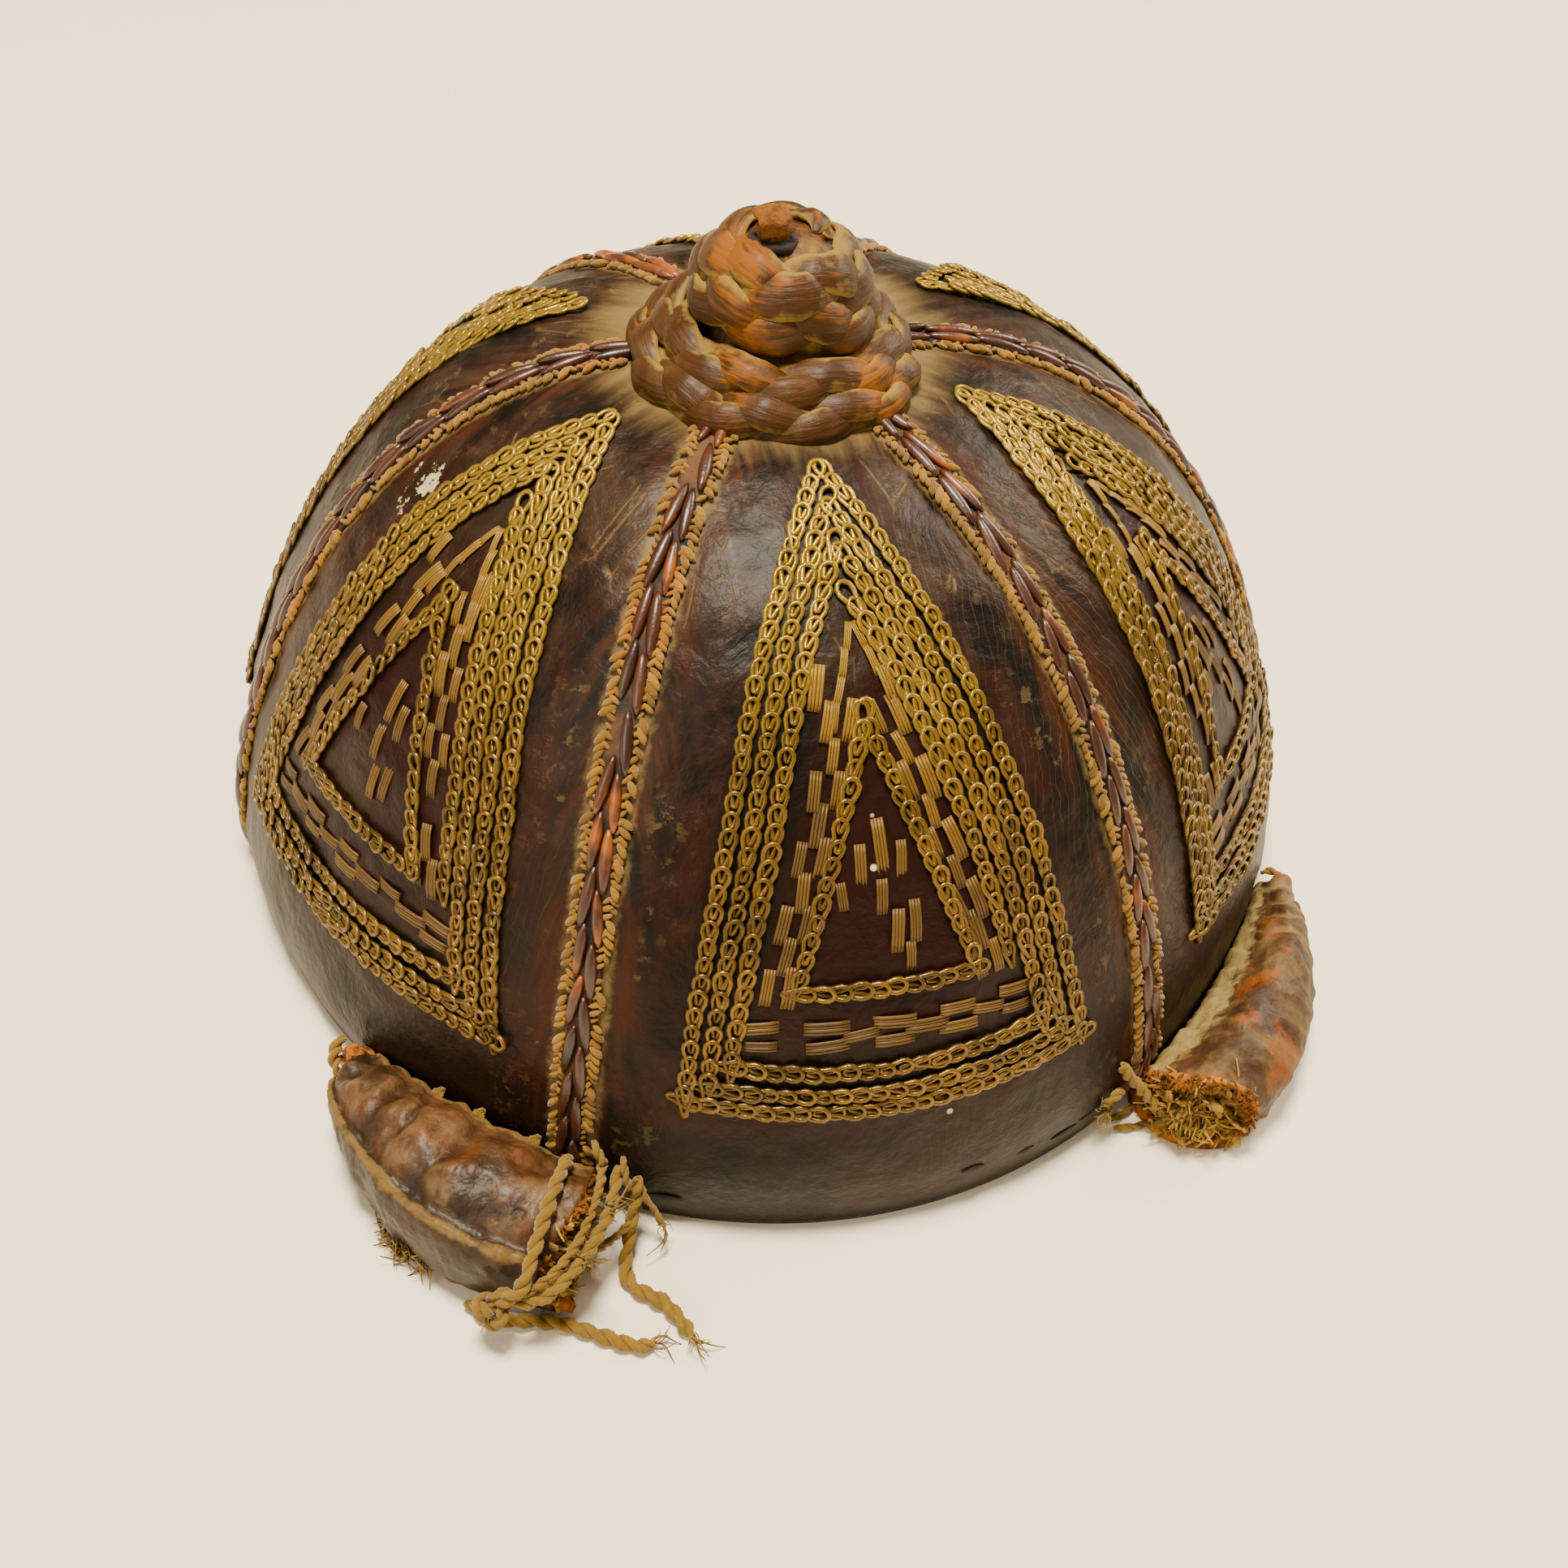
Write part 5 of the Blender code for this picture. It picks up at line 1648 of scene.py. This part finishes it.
def pouch(side):
    grid, stored = roll_grid(side)
    seed = ROLLS[side]["seed"]
    stations, sides = grid.shape[:2]
    normal = grid_normals(grid)
    middle = grid.mean(axis=1, keepdims=True)
    normal *= np.sign(((grid - middle) * normal).sum(-1).mean())
    flat = grid.reshape(-1, 3)
    top = stored["top"]
    ridge = stored["ridge"]
    lumps = cockle(flat, 9 * MM, seed).reshape(stations, sides) * (0.35 + 0.25 * top)
    small = cockle(flat, 3.2 * MM, seed + 1).reshape(stations, sides) * 0.2
    ridges = np.clip(ridge - 0.45, 0, 1) * 1.3 * (1 + 1.2 * small)
    free = np.clip(grid[..., 2] / (2 * MM), 0, 1)
    outer = grid + normal * ((lumps + small + ridges) * MM * free)[..., None]
    above_table(outer, 0.12 * MM)
    inner, _ = roll_grid(side, inset=POUCH_WALL)
    depth = 22
    rings = [outer[i] for i in range(stations - 1, -1, -1)]
    lip = outer[0] * 0.45 + inner[0] * 0.55
    rings += [lip] + [inner[i] for i in range(1, depth)]
    points = np.concatenate(rings)
    faces = ring_faces(len(rings), sides)
    values = {}
    for key, numbers in stored.items():
        back = [numbers[i] for i in range(stations - 1, -1, -1)]
        front = [numbers[0]] + [numbers[i] * 0 for i in range(1, depth)]
        if key == "raw":
            front[:3] = [numbers[0] * 0 + ROLLS[side]["raw_edge"]] * 3
        values[key] = np.concatenate(back + front)
    piece = closed_piece("roll_" + side, points, faces, ROLLS[side]["finish"], values)
    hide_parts("pouch_" + side)
    return outer, inner


# %% Make both rolls
left_outer, left_inner = pouch("left")
right_outer, right_inner = pouch("right")

# %% [markdown]
# ## Straw and fibre in the cut ends
# The filling shows at the open ends. A lumpy plug carries a few hundred short fibres, each one
# bent strand grown on a point with its own direction, so the cut looks torn and not capped.

# %% Filling finish, the plugs, the fibres and the flakes
def straw_finish():
    straw = Finish("straw_and_fibre_filling")
    tone = straw.stored("tone")
    broad = straw.grain(240.0, 4.0, 0.7)
    colour = straw.blend(paint(64, 42, 14), paint(184, 146, 66), (broad * 1.4 - 0.35 + tone * 0.5).clamp())
    return straw.surface(colour, 0.9, straw.bump(straw.grain(900.0, 4.0), 0.0008, 1.0), specular=0.2)


STRAW = straw_finish()


FIBRE_STEPS = 6


def fibre(name, length, thick, bend, sides=4, flat=1.0):
    t = np.linspace(0, 1, FIBRE_STEPS)
    path = np.stack([t * length, bend * length * t**2, 0.4 * bend * length * np.sin(t * 4)], axis=1)
    return template(name, *wire(path, thick * (1 - 0.6 * t**2), sides, flat=flat))


STRAW_FIBRE = fibre("straw_fibre", 3.8 * MM, 0.24 * MM, 0.45)
STRAW_FLAKE = fibre("straw_flake", 2.9 * MM, 0.8 * MM, 0.3, sides=6, flat=0.35)
SUEDE_TUFT = fibre("suede_tuft", 1.5 * MM, 0.34 * MM, 0.4)
WISP = fibre("yarn_wisp", 4.2 * MM, 0.17 * MM, 0.5)


def scatter(points, ahead, spread, count, seed, sink=0.5 * MM):
    """Random starts on some points, each with its own heading near a given one."""
    rng = np.random.default_rng(seed)
    pick = rng.integers(0, len(points), count)
    at = points[pick] - ahead * sink
    heading = unit(ahead + rng.normal(size=(count, 3)) * spread)
    heading[:, 2] = np.where(at[:, 2] < 4 * MM, np.abs(heading[:, 2]) * 0.5, heading[:, 2])
    out = unit(np.cross(heading, rng.normal(size=(count, 3))))
    return [dict(at=at, ahead=unit(heading), out=out, size=1.0)]


PLUG_RINGS = [
    # share of the lip's width, push out of the lip, share of the lumps
    (0.97, -4.0, 0), (0.97, -1.0, 0), (0.94, 0.3, 0.5), (0.80, 0.8, 1),
    (0.6, 1.0, 1), (0.4, 1.0, 1), (0.2, 1.05, 1), (0.02, 1.1, 1),
]
LOOSE = dict(linked=False, tilt=0.3, uneven=0.4)
TUFTS = dict(left=160, right=520)


def plug(side, outer, inner, out_by):
    ring = inner[3]
    middle = ring.mean(0)
    sign = 1 if side == "left" else -1
    azimuth = math.atan2(middle[0], -middle[1])
    ahead = np.array([math.cos(azimuth), math.sin(azimuth), 0]) * sign
    rings = []
    for share, push, _ in PLUG_RINGS:
        rings.append(middle + (ring - middle) * share + ahead * push * out_by)
    points = np.concatenate(rings)
    free = np.repeat([row[2] for row in PLUG_RINGS], len(ring))
    points = points + ahead * (cockle(points, 3.5 * MM, 21) * 1.1 * MM * free)[:, None]
    above_table(points, 0.3 * MM)
    faces = ring_faces(len(rings), len(ring))
    tone = np.full(len(points), 0.3)
    piece = closed_piece("filling_" + side, points, faces, STRAW, dict(tone=tone))
    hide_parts("stuffing_" + side)
    front = points[2 * len(ring) :]
    flakes = scatter(front, ahead * 0.25, 0.7, 300, 41)
    grow("filling_flakes_" + side, flakes, STRAW_FLAKE, STRAW, "filling", seed=41, **LOOSE)
    fibres = scatter(front, ahead * 0.5, 0.45, 220, 43)
    grow("filling_fibres_" + side, fibres, STRAW_FIBRE, STRAW, "filling", seed=43, **LOOSE)
    # A torn edge: short tufts of suede along the upper part of the lip
    lip = outer[0] * 0.6 + inner[0] * 0.4
    upper = lip[lip[:, 2] > 5 * MM]
    tufts = scatter(upper, ahead * 0.8, 0.6, TUFTS[side], 47, 0.2 * MM)
    grow("torn_edge_" + side, tufts, SUEDE_TUFT, RUST_LEATHER, "roll_leather", seed=47, **LOOSE)


plug("left", left_outer, left_inner, 1.0 * MM)
plug("right", right_outer, right_inner, 2.2 * MM)

# %% [markdown]
# ## Yarn ties
# Yarn holds the left roll: a band over its top, a bundle across its cut end, and a knot at its
# foot. They are the same twisted plies as the loose ends. Each route stays close to the solid's,
# given as azimuth, distance out from the crown and height, so the yarn sits where it is tied.

# %% Routes round the left roll
TIE_BAND = [
    # azimuth (degrees), out and up in mm
    (-29.2, 3.6, 16.0), (-28.9, 8.2, 19.0), (-28.6, 14.6, 20.2), (-28.5, 20.2, 18.6),
    (-28.4, 24.4, 17.0), (-28.6, 26.4, 14.4), (-29.2, 27.2, 12.2), (-30.2, 28.0, 9.4),
]
TIE_LACING = [
    (-25.2, 0.9, 14.0), (-24.8, 5.0, 14.2), (-24.6, 9.5, 14.0), (-24.9, 14.0, 13.6),
    (-25.4, 18.6, 13.2), (-26.2, 22.6, 12.6), (-27.2, 25.6, 11.6), (-29.0, 27.4, 10.4),
]


def tie_route(table):
    table = np.array(table, float)
    return beside_rim(np.radians(table[:, 0]), table[:, 1] * MM, table[:, 2] * MM)


band = yarn_piece("tie_band_yarn", tie_route(TIE_BAND), 1.25 * MM, seed=11)
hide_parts("tie_band")
lacing = yarn_piece("tie_lacing_yarn", tie_route(TIE_LACING), 1.15 * MM, seed=12)
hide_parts("tie_lacing")


def knot(name, middle, size, radius, seed):
    """A tight knot: a yarn led three times round itself."""
    t = np.linspace(0.3, 2 * math.pi + 0.1, 15)
    x = (np.sin(t) + 2 * np.sin(2 * t)) / 3
    y = (np.cos(t) - 2 * np.cos(2 * t)) / 3
    z = -np.sin(3 * t) * 0.45
    turned_up = np.stack([x, y * math.cos(0.6) - z * 0.5, z + y * math.sin(0.6)], axis=1)
    yarn_piece(name, np.array(middle) * MM + turned_up * size, radius, seed, 5 * MM)


foot = tie_route([(-30.4, 28.2, 8.6)])[0] / MM
knot("tie_knot_yarn", foot, 2.6 * MM, 1.05 * MM, 14)

# %% Short yarns and a torn flap at the cut ends
YARN_BITS = [
    # name, radius in mm, route as azimuth, out, up
    ("tie_strand_a", 0.8, [(-26.8, 1, 15), (-26, 5.5, 15.6), (-25.8, 11, 15.6), (-26, 17, 15.2),
                           (-26.8, 22, 14.4),
                           (-28, 25.6, 13), (-29.6, 27.6, 11.2)]),
    ("tie_strand_b", 0.7, [(-23.4, 1, 8), (-23, 3.5, 7.6), (-23.6, 7, 6.6), (-24.4, 11, 8), (-25.6, 16, 10),
                           (-26.8, 21, 10.6), (-28.6, 25.6, 10)]),
    ("tie_strand_c", 0.65, [(-23, 1.2, 11), (-22.4, 2.6, 9.4), (-21.4, 3.2, 6.6), (-20.9, 4.4, 5)]),
    ("seam_yarn_left_a", 0.9, [(-27.6, 0.9, 18.2), (-26.9, 2.4, 17.6), (-26.4, 2.6, 16),
                               (-26.8, 1.2, 14.4)]),
    ("seam_yarn_left_b", 0.8, [(-24.8, 0.8, 16.4), (-24.4, 2.6, 15.6), (-24, 3.2, 13), (-24.2, 2, 10.6)]),
    ("end_yarn_right", 1.2, [(25.6, 0.8, 17), (26.3, 1.4, 14), (27.7, 4.0, 10.2), (29.0, 7.2, 6.4),
                             (30.2, 10, 2.2)]),
    ("seam_yarn_right", 0.9, [(23.6, 0.6, 9), (24.2, 1.4, 10.4), (25.2, 1.4, 10.8), (26.2, 0.8, 9.6)]),
    ("floor_yarn_right_a", 0.7, [(25.6, 1.4, 1.0), (27.6, 2.4, 0.9), (29.4, 2.8, 1.0), (30.6, 4.4, 1.4)]),
    ("floor_yarn_right_b", 0.75, [(25.6, 3.4, 1.0), (27.4, 5.4, 0.9), (29.0, 6.8, 1.0), (30.4, 8.6, 1.6)]),
    ("tip_yarn_right", 0.9, [(62.8, 5.6, 5.6), (63.8, 5.6, 7.4), (64.6, 4.2, 8.4), (65.0, 2.4, 8.4),
                             (64.8, 1.0, 7.6)]),
    ("tip_yarn_left", 1.1, [(-53.4, 7.0, 6.6), (-54.4, 7.0, 8.2), (-55.2, 6.2, 9.6), (-55.8, 4.4, 10.6),
                            (-56.0, 2.6, 10.8)]),
]
for number, (name, radius, route) in enumerate(YARN_BITS):
    yarn_piece(name, tie_route(route), radius * MM, seed=50 + number, pitch=4.5 * MM)

# Azimuth (degrees), out and up in mm
EDGE_KNOTS = [(-33.0, 1.9, 14.8), (-38.8, 1.9, 15.0), (-43.5, 1.7, 14.2), (24.6, 0.9, 7.0)]
for number, place in enumerate(EDGE_KNOTS):
    knot("edge_knot_" + str(number), tie_route([place])[0] / MM, 0.8 * MM, 0.45 * MM, 70 + number)


FLAP_SIDES, FLAP_THICK = 12, 1.1 * MM
FLAP_ROUTE = [(-62.5, -101.5, 9), (-59, -105.4, 7), (-56, -108.2, 4.4), (-53.4, -110.2, 1.4)]
FLAP_HALF = [4.2, 4.0, 3.2, 2.2, 0.8]


def flap(name, route, half, finish):
    """A torn strip of leather: a flat section drawn along a route, both in mm."""
    path = even(spline(np.array(route) * MM, 8), 0.6 * MM)
    ahead = unit(np.gradient(path, axis=0))
    side = unit(np.cross(ahead, (0.1, -0.2, 1.0)))
    up = np.cross(side, ahead)
    share = np.linspace(0, 1, len(path))
    width = np.interp(share, np.linspace(0, 1, len(half)), half) * MM
    theta = around(FLAP_SIDES)
    flat = np.clip(np.minimum(share, 1 - share) * 12, 0.1, 1) * FLAP_THICK / 2
    ring = swept(path, side, up, np.outer(width, np.cos(theta)), np.outer(flat, np.sin(theta)))
    points = ring.reshape(-1, 3)
    points = points + np.repeat(up, FLAP_SIDES, 0) * (cockle(points, 4 * MM, 77) * 0.4 * MM)[:, None]
    above_table(points, 0.1 * MM)
    raw = np.repeat(np.clip(share * 1.6 - 0.4, 0, 1), FLAP_SIDES)
    closed_piece(name, points, ring_faces(len(path), FLAP_SIDES), finish, dict(raw=raw))


flap("torn_flap_left", FLAP_ROUTE, FLAP_HALF, LEFT_HIDE)

# %% Frayed fibres, the worn edge of the rim and its cuts
def wisps(name, places, count, spread, seed, size):
    """Frayed fibres at a few places: each place is a point in mm and a direction."""
    rng = np.random.default_rng(seed)
    at, ahead = [], []
    for point, heading in places:
        for _ in range(count):
            at.append(np.array(point) * MM + rng.normal(size=3) * 0.35 * MM)
            ahead.append(np.array(heading) + rng.normal(size=3) * spread)
    at, ahead = np.array(at), unit(np.array(ahead))
    ahead[:, 2] = np.where(at[:, 2] < 3 * MM, np.abs(ahead[:, 2]) * 0.2, ahead[:, 2])
    at[:, 2] = np.maximum(at[:, 2], 0.4 * MM)
    out = unit(np.cross(ahead, rng.normal(size=at.shape)))
    rows = [dict(at=at, ahead=unit(ahead), out=out, size=size)]
    grow(name, rows, WISP, YARN, "yarn", seed=seed, **LOOSE)


def tied_at(azimuth, out, up):
    return tuple(tie_route([(azimuth, out, up)])[0] / MM)


FRAYS = [
    # a point in mm and the way the fibres go
    ((-35.9, -118.0, 1.7), (0.5, -0.8, 0)),
    ((-42.4, -118.3, 1.5), (0.9, -0.2, 0)),
    (foot, (-0.2, -0.8, -0.4)),
    (tied_at(-21.0, 4.2, 5.4), (0.5, -0.6, -0.4)),
    (tied_at(-24.8, 9.0, 14.8), (0.6, -0.4, 0.5)),
    (tied_at(-25.4, 18.0, 14.0), (0.7, -0.6, 0.2)),
    (tied_at(30.2, 10.0, 2.2), (0.6, -0.7, 0)),
    (tied_at(24.0, 1.0, 7.6), (-0.6, -0.6, 0)),
    (tied_at(-53.6, 7.2, 6.8), (-0.5, -0.6, -0.2)),
]
wisps("yarn_wisps", FRAYS, 9, 0.32, 61, (0.8, 0.9, 0.9))
fringe = [((-81 + 5.2 * t, -89.4 - 8.2 * t, 2.0), (-0.7, -0.5, -0.2)) for t in np.linspace(0, 1, 7)]
wisps("fringe_wisps", fringe, 14, 0.3, 63, (0.42, 1.5, 1.5))

raw_rim = tie_route([(azimuth, -0.7, 0.6) for azimuth in np.linspace(-76, -61, 10)])
points, faces, crest = plied(raw_rim, 0.6 * MM, 3.4 * MM, 81)
above_table(points, YARN_LOWEST)
new_piece("raw_rim_edge", points, faces, RUST_LEATHER, dict(crest=crest))

CUTS = [
    # azimuth (degrees), height in mm, size
    (-21, 6.7, 1.0), (8, 9.0, 0.7), (14, 7.9, 0.6), (19, 6.6, 1.0), (22.5, 7.4, 0.9),
]
# Each cut is a thin dark lens laid on the leather: painted shade for the depth of the slit
SLIT = lens_loft("rim_slit", 6.2 * MM, 1.5 * MM, 0.5 * MM, power=0.8, sink=0.45)
angle = np.radians([row[0] for row in CUTS])
rise = rise_at_height(np.array([row[1] for row in CUTS]) * MM)
at = crown(angle, rise)
tangent = unit(crown(angle + 0.01, rise) - at)
size = np.array([[row[2], 1, 1] for row in CUTS])
cuts = [dict(at=at, ahead=tangent, out=crown_normal(angle, rise), size=size)]
grow("rim_cuts", cuts, SLIT, HOLLOW_SHADE, "crown_leather", linked=False, seed=83)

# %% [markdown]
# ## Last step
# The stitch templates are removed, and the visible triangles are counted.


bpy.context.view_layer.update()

for made in TEMPLATES:
    bpy.data.objects.remove(made, do_unlink=True)
triangles = 0
for piece in bpy.data.objects:
    if piece.type == "MESH" and not piece.hide_render:
        piece.data.calc_loop_triangles()
        triangles += len(piece.data.loop_triangles)
print("visible triangles:", triangles)
